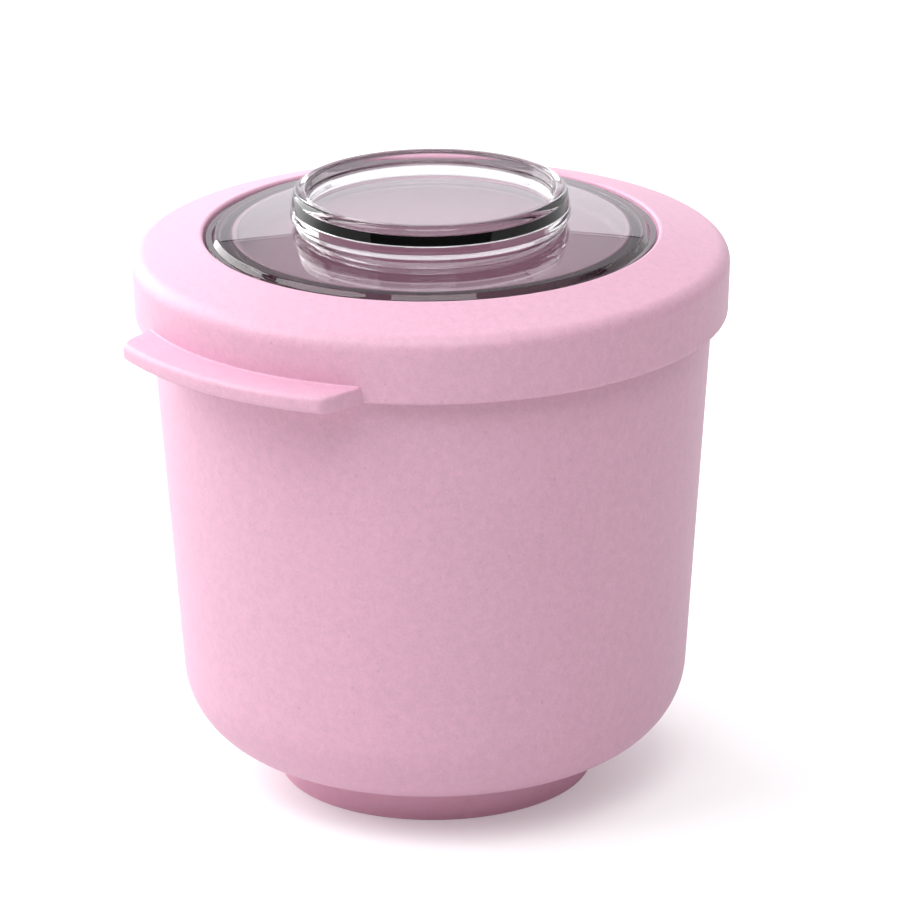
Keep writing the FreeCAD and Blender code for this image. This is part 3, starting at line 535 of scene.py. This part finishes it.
def cup_metal():
    f = bpy.context.scene.maker_finishes
    values = {"Base": f.cup, "Rings": 0.05, "Roughness": 0.30}
    return grouped_material("cup_spun_metal", "spun_metal", values, 0.3, 0.02, Metallic=1.0)


def screw_steel():
    f = bpy.context.scene.maker_finishes
    values = {"Base": f.steel, "Rings": 0.08, "Roughness": 0.32}
    return grouped_material("screw_steel", "spun_metal", values, 0.3, 0.02, Metallic=1.0)


def clear_plastic():
    """Clear, polished plastic: full transmission, with lamps let through so the inside is lit."""
    name = "clear_polished_plastic"
    material = bpy.data.materials.get(name)
    if material:
        return material
    material = bpy.data.materials.new(name)
    material.use_nodes = True
    tree = material.node_tree
    add = Tree(tree)
    shader = tree.nodes["Principled BSDF"]
    shader.inputs["Transmission Weight"].default_value = 1.0
    shader.inputs["IOR"].default_value = 1.5
    where = add("ShaderNodeTexCoord").outputs["Object"]
    haze = ramp(add, noise(add, where, scale=35.0, detail=3.0, roughness=0.55), 0.45, 0.8, 0.0, 0.03)
    cloud = ramp(add, noise(add, where, scale=20.0), 0.3, 0.7)
    tint = blend_colour(add, cloud, (0.98, 0.975, 0.985, 1), (1, 1, 1, 1))
    tree.links.new(haze, shader.inputs["Roughness"])
    tree.links.new(tint, shader.inputs["Base Color"])
    open_to_lamps = add("ShaderNodeBsdfTransparent", Color=(0.92, 0.91, 0.92, 1))
    mixed = add("ShaderNodeMixShader", i0=add("ShaderNodeLightPath").outputs["Is Shadow Ray"],
                i1=shader.outputs[0], i2=open_to_lamps.outputs[0])
    tree.links.new(mixed.outputs[0], tree.nodes["Material Output"].inputs["Surface"])
    return material


def finish_piece(piece, material, body, slot, *nodes):
    """Gives a new piece its finish and body, and hides the nodes that it stands for. The slot is not used."""
    piece.data.materials.clear()
    piece.data.materials.append(material)
    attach(piece, body)
    if nodes:
        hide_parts(*nodes)


def finish_nodes(material, *nodes):
    """Gives the modelled nodes that are shown as they are one finish."""
    for node in nodes:
        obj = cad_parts[node]
        obj.data.materials.clear()
        obj.data.materials.append(material)


# ---- Pot ----

def build_pot():
    """Outer shell: the nested path at depth zero, and back at the wall's thickness."""
    s = bpy.context.scene.maker_pot
    rim = high("outer_shell").z
    corners = nested(0.0, rim)[::-1] + nested(s.shell_wall, rim)
    shell = turned("pot_shell", outline(corners, False), False)
    finish_piece(shell, pink_plastic(), "pot", "pink_plastic", "outer_shell")


def build_lining():
    """Inner lining: its outside path up to the rim, a flange over the shell, and its inside path."""
    s = bpy.context.scene.maker_pot
    rim, top = high("outer_shell"), high("pot_liner").z
    inside = floor_depth("rest_pads")
    corners = nested(inside - s.liner_wall, rim.z)[::-1]
    corners += [(rim.x, rim.z), (rim.x, top, s.rim_round)] + nested(inside, top)
    lining = turned("pot_lining", outline(corners, False), False)
    finish_piece(lining, white_plastic(), "pot", "white_plastic", "pot_liner")


def build_foot():
    """Foot ring: a tapered band whose top follows the underside and whose lip is clamped."""
    s = bpy.context.scene.maker_pot
    foot, floor = high("foot_ring"), low("outer_shell").z
    lip = s.foot_inner - s.foot_lip
    corners = [
        (foot.x - s.foot_lean, 0.0, s.foot_round),
        (foot.x, foot.z),
        (s.floor_radius, floor),
        (lip, floor),
        (lip, floor - s.foot_lip_height),
        (s.foot_inner, floor - s.foot_lip_height),
        (s.foot_inner, 0.0, s.foot_round),
    ]
    ring = turned("foot", outline(corners, True), True)
    finish_piece(ring, foot_rubber(), "pot", "pink_soft", "foot_ring")


# ---- Freezer bowl ----

def build_bowl():
    """Bowl's outer wall: two nested paths a wall apart, with a boss and a recess for the plug."""
    s = bpy.context.scene.maker_bowl
    top = high("bowl_shell").z
    outer, inner = floor_depth("bowl_shell"), floor_depth("bowl_shell") + s.wall
    floor = low("bowl_shell").z
    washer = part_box("plug_seal")
    hole, boss_top = high("plug_seal").x, high("fill_plug").z
    stem = hole * s.stem_share
    corners = [(s.recess, floor)] + nested(outer, top)[-2::-1] + nested(inner, top)[:-1]
    corners += [(s.boss, floor + s.wall), (s.boss, boss_top), (stem, boss_top)]
    corners += [(stem, washer[1].z), (s.recess, washer[1].z)]
    wall = turned("bowl_outer_wall", outline(corners, True), True)
    finish_piece(wall, white_plastic(), "bowl", "white_plastic", "bowl_shell")


def build_cup():
    """Metal cup: two nested paths a wall apart, with the nub that centres the paddle."""
    s = bpy.context.scene.maker_bowl
    outer = floor_depth("bowl_cup")
    inner, top = outer + s.cup_wall, high("bowl_cup").z
    floor = low("outer_shell").z + inner
    nub_top = floor + s.nub_height
    corners = nested(outer, top)[::-1] + nested(inner, top)[:-1]
    corners += [(s.nub, floor, FULL), (s.nub, nub_top, s.nub_round), (0.0, nub_top)]
    cup = turned("freezing_cup", outline(corners, False), False)
    finish_piece(cup, cup_metal(), "bowl", "cup_metal", "bowl_cup")


def build_bowl_rim():
    """Rim collar: a flat flange over both walls, with a tongue that fits between them."""
    s = bpy.context.scene.maker_bowl
    flange, base = high("bowl_rim"), high("bowl_shell").z
    tongue_low = low("bowl_rim").z
    cup = floor_depth("bowl_cup")
    inside = floor_depth("bowl_shell") + s.wall + s.tongue_gap
    outside = cup - s.tongue_gap
    corners = [
        (side_radius(cup + s.cup_wall, base), base),
        (side_radius(cup + s.cup_wall, base), flange.z, s.rim_round),
        (flange.x, flange.z, s.rim_round),
        (flange.x, base, s.rim_round / 2),
        (side_radius(inside, base), base),
        (side_radius(inside, tongue_low), tongue_low),
        (side_radius(outside, tongue_low), tongue_low),
        (side_radius(outside, base), base),
    ]
    rim = turned("bowl_collar", outline(corners, True), True)
    finish_piece(rim, mauve_plastic(), "bowl", "mauve_plastic", "bowl_rim")


# ---- Lid ----

def tab_reach(t, s, radius):
    """How far the tab stands out of the skirt at each angle t from its middle.

    Its plan is bounded by an outer arc and two straight slanted ends; where they meet, the corner
    is rounded by taking a smooth minimum of the two distances.
    """
    tip = -low("lid").y
    full = tip - radius
    root_x, root_y = radius * math.sin(s.tab_root), radius * math.cos(s.tab_root)
    tip_x, tip_y = tip * math.sin(s.tab_tip), tip * math.cos(s.tab_tip)
    along_x, along_y = tip_x - root_x, tip_y - root_y
    sine, cosine = np.sin(np.abs(t)), np.cos(np.abs(t))
    crossing = (root_x * along_y - root_y * along_x) / (sine * along_y - cosine * along_x)
    ends = np.where(np.abs(t) >= s.tab_root, 0.0, np.maximum(crossing - radius, 0.0))
    ends = np.where(np.abs(t) < s.tab_tip * 0.6, 2 * full, ends)
    blur = s.tab_corner
    gap = np.maximum(blur - np.abs(ends - full), 0.0) / blur
    return np.maximum(np.minimum(ends, full) - gap * gap * blur / 4, 0.0)


def tab_rows(reach, s, radius, hem):
    """Rows that run out under the tab, round its edge and back along its top to the skirt.

    The top falls as a quarter circle where the reach is short, so the ends have rounded edges.
    With no reach the rows are spread evenly up the skirt instead, so no face is ever empty.
    """
    sag = np.maximum(s.tab_end_round - reach, 0.0)
    height = s.tab_height - s.tab_end_round + np.sqrt(s.tab_end_round ** 2 - sag * sag)
    top_round = np.minimum(s.tab_round, 0.45 * reach)
    low_round = np.minimum(s.tab_low_round, 0.3 * reach)
    root_round = np.minimum(s.tab_fillet, 0.3 * reach)
    rows = []

    def straight(x0, z0, x1, z1, count):
        for f in np.linspace(0.0, 1.0, count + 1)[1:]:
            rows.append((x0 + f * (x1 - x0), z0 + f * (z1 - z0)))

    def arc(x, z, size, start, end, count):
        for f in np.linspace(start, end, count + 1)[1:]:
            rows.append((x + size * math.cos(f), z + size * math.sin(f)))

    zero = np.zeros_like(reach)
    quarter = math.pi / 2
    straight(zero - hem, zero, reach - low_round, zero, 5)
    arc(reach - low_round, low_round, low_round, -quarter, 0.0, 4)
    straight(reach, low_round, reach, height - top_round, 4)
    arc(reach - top_round, height - top_round, top_round, 0.0, quarter, 10)
    straight(reach - top_round, zero + height, root_round, zero + height, 5)
    arc(root_round, height + root_round, root_round, -quarter, -math.pi, 5)
    tab = np.array([[np.broadcast_to(v, reach.shape) for v in row] for row in rows])
    share = np.linspace(0.0, 1.0, len(rows) + 1)[1:, None]
    turn = np.minimum(share * 3.0, 1.0) * quarter
    skirt_x = -hem + hem * np.sin(turn)
    upright = np.maximum(share - 1 / 3, 0) * 1.5
    skirt_z = hem * (1 - np.cos(turn)) + upright * (s.tab_height + root_round - hem)
    plain = np.stack([np.broadcast_to(skirt_x, skirt_z.shape), skirt_z], 1)
    plain = np.broadcast_to(plain, tab.shape)
    shown = np.clip(reach / TAB_FADE, 0.0, 1.0)
    return tab * shown + plain * (1 - shown)


def tab_angles(s, count):
    """Angles round the lid, closer together near the ends of the tab."""
    base = np.arange(count) * 2 * math.pi / count - math.pi
    near = [np.linspace(s.tab_tip * 0.8, s.tab_root + math.radians(0.6), 52)]
    edge = s.tab_root + np.radians(np.array([-0.25, -0.15, -0.08, -0.03, 0.0, 0.03, 0.08]))
    extra = np.concatenate(near + [edge])
    merged = np.unique(np.concatenate([base, extra, -extra]).round(5))
    keep = np.concatenate([[True], np.diff(merged) > 2e-4])
    return merged[keep]


def build_lid():
    """Lid: a turned ring section whose lower edge grows the thumb tab over part of the turn."""
    s = bpy.context.scene.maker_lid
    hem_z = low("lid").z
    radius = high("lid").x + s.facet_gap
    corner_z = hem_z + s.edge_height
    hem_radius = radius - s.edge_height * math.tan(s.draft)
    opening = high("glide_ring").x + s.opening_gap
    slope = math.tan(s.slope)
    lip_z = corner_z + (radius - opening) * slope
    ledge, ledge_low = high("glide_ring").z - s.bush_plate, low("glide_ring").z
    ledge_radius = opening - s.ledge_width
    collar = opening + s.collar_wall
    gasket = high("lid_gasket")
    rib_out = gasket.x - s.gasket_wall
    rib_in, rib_low = rib_out - s.wall, low("lid_gasket").z + s.gasket_sole
    drop = s.wall / math.cos(s.slope)

    def under(r):
        return corner_z + (radius - r) * slope - drop

    def inner(z):
        return hem_radius + (z - hem_z) * math.tan(s.draft) - s.wall / math.cos(s.draft)

    hem_top = hem_z + s.tab_height + s.tab_fillet
    start = (hem_radius + (hem_top - hem_z) * math.tan(s.draft), hem_top)
    inner_corner = inner(corner_z - s.wall)
    corners = [
        start,
        (radius, corner_z, s.shoulder),
        (opening, lip_z, s.lip_round),
        (opening, ledge),
        (ledge_radius, ledge),
        (ledge_radius, ledge_low),
        (collar, ledge_low),
        (collar, under(collar), SMALL),
        (rib_in, under(rib_in), TIGHT),
        (rib_in, rib_low),
        (rib_out, rib_low),
        (rib_out, under(rib_out), TIGHT),
        (inner_corner, under(inner_corner), s.shoulder - s.wall),
        (inner(hem_z), hem_z, TIGHT),
        (hem_radius - s.hem_round, hem_z),
    ]
    profile = outline(corners, False)
    t = tab_angles(s, bpy.context.scene.maker_stage.segments)
    reach = tab_reach(t, s, hem_radius)
    rows = tab_rows(reach, s, hem_radius, s.hem_round)
    lean = rows[:, 1] * math.tan(s.draft)
    r = np.vstack([np.repeat(profile[:, :1], len(t), 1), hem_radius + rows[:-1, 0] + lean[:-1]])
    z = np.vstack([np.repeat(profile[:, 1:], len(t), 1), hem_z + rows[:-1, 1]])
    turn = t - math.pi / 2
    points = np.stack([r * np.cos(turn), r * np.sin(turn), z], -1).reshape(-1, 3)
    lid = mesh_object("lid_ring_cover", points, grid_faces(len(r), len(t), True))
    finish_piece(lid, pink_plastic(), "lid_ring", "pink_plastic", "lid")


def build_gasket():
    """Gasket: an upright channel, two thin walls on a sole, that grips the lid's rib."""
    s = bpy.context.scene.maker_lid
    base, top = low("lid_gasket").z, high("lid_gasket").z
    outer = high("lid_gasket").x
    wall, sole = s.gasket_wall, s.gasket_sole
    inner = outer - s.wall - 2 * wall
    corners = [
        (inner, base, SMALL), (outer, base, SMALL), (outer, top), (outer - wall, top),
        (outer - wall, base + sole), (inner + wall, base + sole), (inner + wall, top), (inner, top),
    ]
    gasket = turned("gasket", outline(corners, True), True)
    finish_piece(gasket, seal_silicone(), "lid_ring", "soft_seal", "lid_gasket")


def build_glide_ring():
    """Glide ring: an angle section, a plate on the lid's ledge and a leg down its inner side."""
    s = bpy.context.scene.maker_lid
    outer, top = high("glide_ring").x, high("glide_ring").z
    base = low("glide_ring").z
    ledge_radius = outer + s.opening_gap - s.ledge_width
    plate_low, leg_in = top - s.bush_plate, ledge_radius - s.bush_leg
    corners = [
        (leg_in, base), (ledge_radius, base), (ledge_radius, plate_low),
        (outer, plate_low), (outer, top), (leg_in, top),
    ]
    ring = turned("glide_bush", outline(corners, True), True)
    # The glide ring's dark wine finish is painted shade: it stands in for the shaded ledge under the dome's
    # flange.
    finish_piece(ring, wine_plastic(), "lid_ring", "slip_plastic", "glide_ring")


# ---- Knob ----

def build_knob():
    """Clear knob: crowned dome, stepped flange, skirt below, and the hollow grip with its recessed floor.

    The crown is height minus (R - sqrt(R squared - r squared)) for a sphere of radius R.
    """
    s = bpy.context.scene.maker_knob
    top, edge_radius = high("clear_knob").z, high("clear_knob").x
    crown_z = top - s.grip_height
    flange_low, skirt_low = high("glide_ring").z, low("clear_knob").z
    shoulder = edge_radius - s.step - s.shoulder
    crown_edge = shoulder - s.shoulder
    lip_z = high("lid").z + s.lip_corner
    lid = bpy.context.scene.maker_lid
    skirt_out = edge_radius + lid.opening_gap - lid.ledge_width - lid.bush_leg - s.skirt_gap
    skirt_in = skirt_out - s.skirt_wall
    grip_in = s.grip_radius - s.grip_wall
    neck = s.grip_radius - s.grip_neck

    def crown(r, height, sphere):
        return height - (sphere - np.sqrt(sphere * sphere - r * r))

    def arc(first, last, height, sphere, count):
        r = np.linspace(first, last, count)
        return [(a, b, 0.0) for a, b in zip(r, crown(r, height, sphere))]

    under_z, under_sphere = crown_z - s.thickness, s.crown - s.thickness
    floor_top = top - s.grip_recess
    floor_low = floor_top - s.grip_floor
    under = [(0.0, floor_low), (grip_in, floor_low, EASY)]
    under += [(grip_in, crown(grip_in, under_z, under_sphere), SMALL)]
    under += arc(grip_in + UNDER_MARGIN, skirt_in - SKIRT_MARGIN, under_z, under_sphere, 12)
    inner_edge = crown(skirt_in, under_z, under_sphere)
    corners = under + [
        (skirt_in, inner_edge, EASY),
        (skirt_in, skirt_low),
        (skirt_out, skirt_low),
        (skirt_out, flange_low, CRISP),
        (edge_radius, flange_low, CRISP),
        (edge_radius, lip_z - s.recess, SMALL),
        (edge_radius - s.step, lip_z - s.recess, TIGHT),
        (shoulder, crown(shoulder, crown_z, s.crown), SOFT),
    ]
    corners += arc(crown_edge, neck + CROWN_MARGIN, crown_z, s.crown, 10)
    corners += [
        (neck, crown(neck, crown_z, s.crown), FULL),
        (s.grip_radius + s.grip_ledge, crown_z + s.grip_ledge_height, s.grip_ledge),
        (s.grip_radius, top, s.rim_outer),
        (grip_in, top, s.rim_inner),
        (grip_in, floor_top, FULL),
        (0.0, floor_top),
    ]
    knob = turned("clear_dome_and_grip", outline(corners, False), False)
    finish_piece(knob, clear_plastic(), "knob", "clear_plastic", "clear_knob")


def build_disc():
    """Disc under the dome: a shallow pan with a turned-out flange and a boss for the hub."""
    s = bpy.context.scene.maker_knob
    hub_top = low("knob_disc").z
    rim = low("disc_seal").z
    rim_out = high("disc_seal").x
    rim_in = rim_out - s.disc_rim
    flange_top = low("clear_knob").z
    flange_low = flange_top - s.disc_flange
    outer = high("knob_disc").x
    corners = [
        (0.0, hub_top),
        (s.disc_boss, hub_top, SMALL),
        (s.disc_boss, flange_low, SMALL),
        (outer, flange_low, TIGHT),
        (outer, flange_top),
        (rim_out, flange_top),
        (rim_out, rim),
        (rim_in, rim),
        (rim_in, flange_top, s.disc_corner),
        (0.0, flange_top),
    ]
    disc = turned("dome_disc", outline(corners, False), False)
    finish_piece(disc, wine_plastic(), "knob", "mauve_plastic", "knob_disc")


# ---- Stage: floor, light and camera ----

WHITE = (1.0, 1.0, 1.0)

# Each lamp: name, degrees round from the camera, distance, height, height it faces, size, watts, tint.
LAMPS = [
    ("key", -76, 1.2, 1.15, 0.09, (1.1, 1.1), 16.0, WHITE),
    ("front", 2, 0.85, 1.5, 0.1, (0.9, 0.9), 9.5, WHITE),
    ("side", -132, 1.3, 0.6, 0.09, (1.0, 1.1), 16.0, WHITE),
    ("far_side", 130, 1.4, 0.6, 0.09, (0.8, 1.0), 2.5, WHITE),
    ("back_low", 180, 3.0, 0.65, 0.65, (4.0, 1.1), 19.5, (0.98, 0.95, 1.0)),
    ("back_high", 180, 3.0, 2.0, 0.65, (4.0, 1.5), 12.5, (0.98, 0.94, 1.0)),
]

# The surroundings' grey at each upward part of a direction, from level to straight up.
SKY_BANDS = [(0.0, 0.13), (0.50, 0.13), (0.58, 0.3), (0.68, 1.0), (0.8, 1.1), (1.0, 1.1)]
SKY_STRENGTH = 0.75

# The floor as the camera sees it, and the darker grey that it throws back on the object.
PAPER_DARK, PAPER_LIGHT = (0.80, 0.80, 0.80, 1), (0.82, 0.82, 0.82, 1)
PAPER_BOUNCE = (0.72, 0.72, 0.72, 1)
GLOW_BOUNCE, GLOW_SEEN = (0.5, 0.5, 0.5, 1), (1, 1, 1, 1)
GLOW_STRENGTH = 0.25


def around(degrees, distance, height):
    """A place round the object, its angle counted from the camera's side towards the camera's right."""
    s = bpy.context.scene.maker_stage
    turn = s.heading - math.pi / 2 + math.radians(degrees)
    return Vector((distance * math.cos(turn), distance * math.sin(turn), height))


def area_light(name, place, target, size, power, tint):
    """A soft rectangular lamp that faces its target."""
    lamp = bpy.data.lights.new(name, "AREA")
    lamp.shape = "RECTANGLE"
    lamp.size, lamp.size_y = size
    lamp.energy = power
    lamp.color = tint
    obj = bpy.data.objects.new(name, lamp)
    bpy.context.scene.collection.objects.link(obj)
    aim = (Vector(target) - place).to_track_quat("-Z", "Y")
    obj.matrix_world = Matrix.Translation(place) @ aim.to_matrix().to_4x4()


def build_camera():
    """Camera: its axes come from heading, yaw, tilt and roll, so its frame is exactly square."""
    s = bpy.context.scene.maker_stage
    data = bpy.data.cameras.new("camera")
    data.lens = s.lens
    data.sensor_width = 36.0
    data.clip_end = 100.0
    turn = Matrix.Rotation(s.heading, 4, "Z")
    place = turn @ Vector((0.0, -s.distance, s.height))
    forward = Vector((
        math.sin(s.yaw) * math.cos(s.tilt),
        math.cos(s.yaw) * math.cos(s.tilt),
        -math.sin(s.tilt),
    ))
    right = Vector((math.cos(s.yaw), -math.sin(s.yaw), 0.0))
    upward = right.cross(forward)
    right, upward = (
        math.cos(s.roll) * right + math.sin(s.roll) * upward,
        -math.sin(s.roll) * right + math.cos(s.roll) * upward,
    )
    axes = Matrix((right, upward, -forward)).transposed().to_4x4()
    obj = bpy.data.objects.new("camera", data)
    bpy.context.scene.collection.objects.link(obj)
    obj.matrix_world = Matrix.Translation(place) @ turn @ axes
    bpy.context.scene.camera = obj


def build_floor():
    """Plain paper floor, a single flat square, lighter to the camera than in the light it returns."""
    s = bpy.context.scene.maker_stage
    half = s.floor_size / 2
    mesh = bpy.data.meshes.new("floor")
    corners = [(-half, -half, 0), (half, -half, 0), (half, half, 0), (-half, half, 0)]
    mesh.from_pydata(corners, [], [(0, 1, 2, 3)])
    floor = bpy.data.objects.new("floor", mesh)
    bpy.context.scene.collection.objects.link(floor)
    material = bpy.data.materials.new("floor_paper")
    material.use_nodes = True
    add = Tree(material.node_tree)
    shader = material.node_tree.nodes["Principled BSDF"]
    where = add("ShaderNodeTexCoord").outputs["Object"]
    seen = add("ShaderNodeLightPath").outputs["Is Camera Ray"]
    paper = blend_colour(add, noise(add, where, scale=6.0), PAPER_DARK, PAPER_LIGHT)
    tone = blend_colour(add, seen, PAPER_BOUNCE, paper)
    material.node_tree.links.new(tone, shader.inputs["Base Color"])
    shader.inputs["Roughness"].default_value = 0.9
    shader.inputs["Specular IOR Level"].default_value = 0.1
    glow = blend_colour(add, seen, GLOW_BOUNCE, GLOW_SEEN)
    material.node_tree.links.new(glow, shader.inputs["Emission Color"])
    shader.inputs["Emission Strength"].default_value = GLOW_STRENGTH
    mesh.materials.append(material)


def build_world():
    """Soft surroundings: dim round the horizon and up to about thirty degrees, bright overhead."""
    world = bpy.data.worlds.new("studio")
    world.use_nodes = True
    bpy.context.scene.world = world
    add = Tree(world.node_tree)
    background = world.node_tree.nodes["Background"]
    direction = add("ShaderNodeTexCoord").outputs["Generated"]
    upward = add("ShaderNodeSeparateXYZ", Vector=direction).outputs[2]
    bands = add("ShaderNodeValToRGB", Fac=upward)
    stops = bands.color_ramp.elements
    while len(stops) < len(SKY_BANDS):
        stops.new(0.5)
    for stop, (place, value) in zip(stops, SKY_BANDS):
        stop.position = place
        stop.color = (value, value, value, 1.0)
    world.node_tree.links.new(bands.outputs["Color"], background.inputs["Color"])
    background.inputs["Strength"].default_value = SKY_STRENGTH


def build_lights():
    for name, degrees, distance, height, target, size, power, tint in LAMPS:
        area_light(name, around(degrees, distance, height), (0, 0, target), size, power, tint)


# ---- Operators and panel ----

def finish_cad_nodes():
    """Finishes for the pieces whose modelled shape is shown as it is."""
    finish_nodes(pink_plastic(), "base_cover")
    finish_nodes(screw_steel(), "base_screws", "hub_screws", "paddle_pin")
    finish_nodes(seal_silicone(), "rest_pads", "rim_seal_outer", "rim_seal_inner", "plug_seal",
                 "scraper_left", "scraper_right")
    # The disc seal's dark wine finish is painted shade, so the seal shows as the shade inside the dome.
    finish_nodes(wine_plastic(), "disc_seal")
    finish_nodes(white_plastic(), "insulation_sleeve", "fill_plug", "drive_hub", "paddle")
    finish_nodes(mauve_plastic(), "coolant_gel")


class MAKER_OT_stage(bpy.types.Operator):
    """Makes the camera, floor, surroundings and lamps."""

    bl_idname = "maker.stage"
    bl_label = "Stage"

    def execute(self, context):
        build_camera()
        build_floor()
        build_world()
        build_lights()
        return {"FINISHED"}


class MAKER_OT_pot(bpy.types.Operator):
    """Makes the outer shell, lining and foot."""

    bl_idname = "maker.pot"
    bl_label = "Pot"

    def execute(self, context):
        build_pot()
        build_lining()
        build_foot()
        return {"FINISHED"}


class MAKER_OT_bowl(bpy.types.Operator):
    """Makes the outer wall, metal cup and rim collar."""

    bl_idname = "maker.bowl"
    bl_label = "Freezer bowl"

    def execute(self, context):
        build_bowl()
        build_cup()
        build_bowl_rim()
        return {"FINISHED"}


class MAKER_OT_lid(bpy.types.Operator):
    """Makes the lid with its tab, the gasket and the glide ring."""

    bl_idname = "maker.lid"
    bl_label = "Lid"

    def execute(self, context):
        build_lid()
        build_gasket()
        build_glide_ring()
        return {"FINISHED"}


class MAKER_OT_knob(bpy.types.Operator):
    """Makes the clear dome with its grip, and the disc below."""

    bl_idname = "maker.knob"
    bl_label = "Knob"

    def execute(self, context):
        build_knob()
        build_disc()
        return {"FINISHED"}


class MAKER_OT_finishes(bpy.types.Operator):
    """Gives the remaining pieces their finishes."""

    bl_idname = "maker.finishes"
    bl_label = "Finishes"

    def execute(self, context):
        finish_cad_nodes()
        return {"FINISHED"}


GROUPS = {
    "maker_pot": PotSizes,
    "maker_bowl": BowlSizes,
    "maker_lid": LidSizes,
    "maker_knob": KnobSizes,
    "maker_finishes": Finishes,
    "maker_stage": StageSizes,
}
OPERATORS = [MAKER_OT_stage, MAKER_OT_pot, MAKER_OT_bowl, MAKER_OT_lid, MAKER_OT_knob, MAKER_OT_finishes]


class MAKER_PT_panel(bpy.types.Panel):
    """Lists the operators in the order they run."""

    bl_idname = "MAKER_PT_panel"
    bl_label = "Ice Cream Maker"
    bl_space_type = "VIEW_3D"
    bl_region_type = "UI"
    bl_category = "Ice Cream Maker"

    def draw(self, context):
        for operator in OPERATORS:
            self.layout.operator(operator.bl_idname)


CLASSES = [*GROUPS.values(), *OPERATORS, MAKER_PT_panel]


def register():
    for cls in CLASSES:
        bpy.utils.register_class(cls)
    for name, group in GROUPS.items():
        setattr(bpy.types.Scene, name, PointerProperty(type=group))


def unregister():
    for name in GROUPS:
        delattr(bpy.types.Scene, name)
    for cls in reversed(CLASSES):
        bpy.utils.unregister_class(cls)


def main():
    register()
    bpy.context.scene.view_settings.view_transform = "Standard"
    for operator in OPERATORS:
        getattr(bpy.ops.maker, operator.bl_idname.split(".")[1])()


if __name__ == "__main__":
    main()
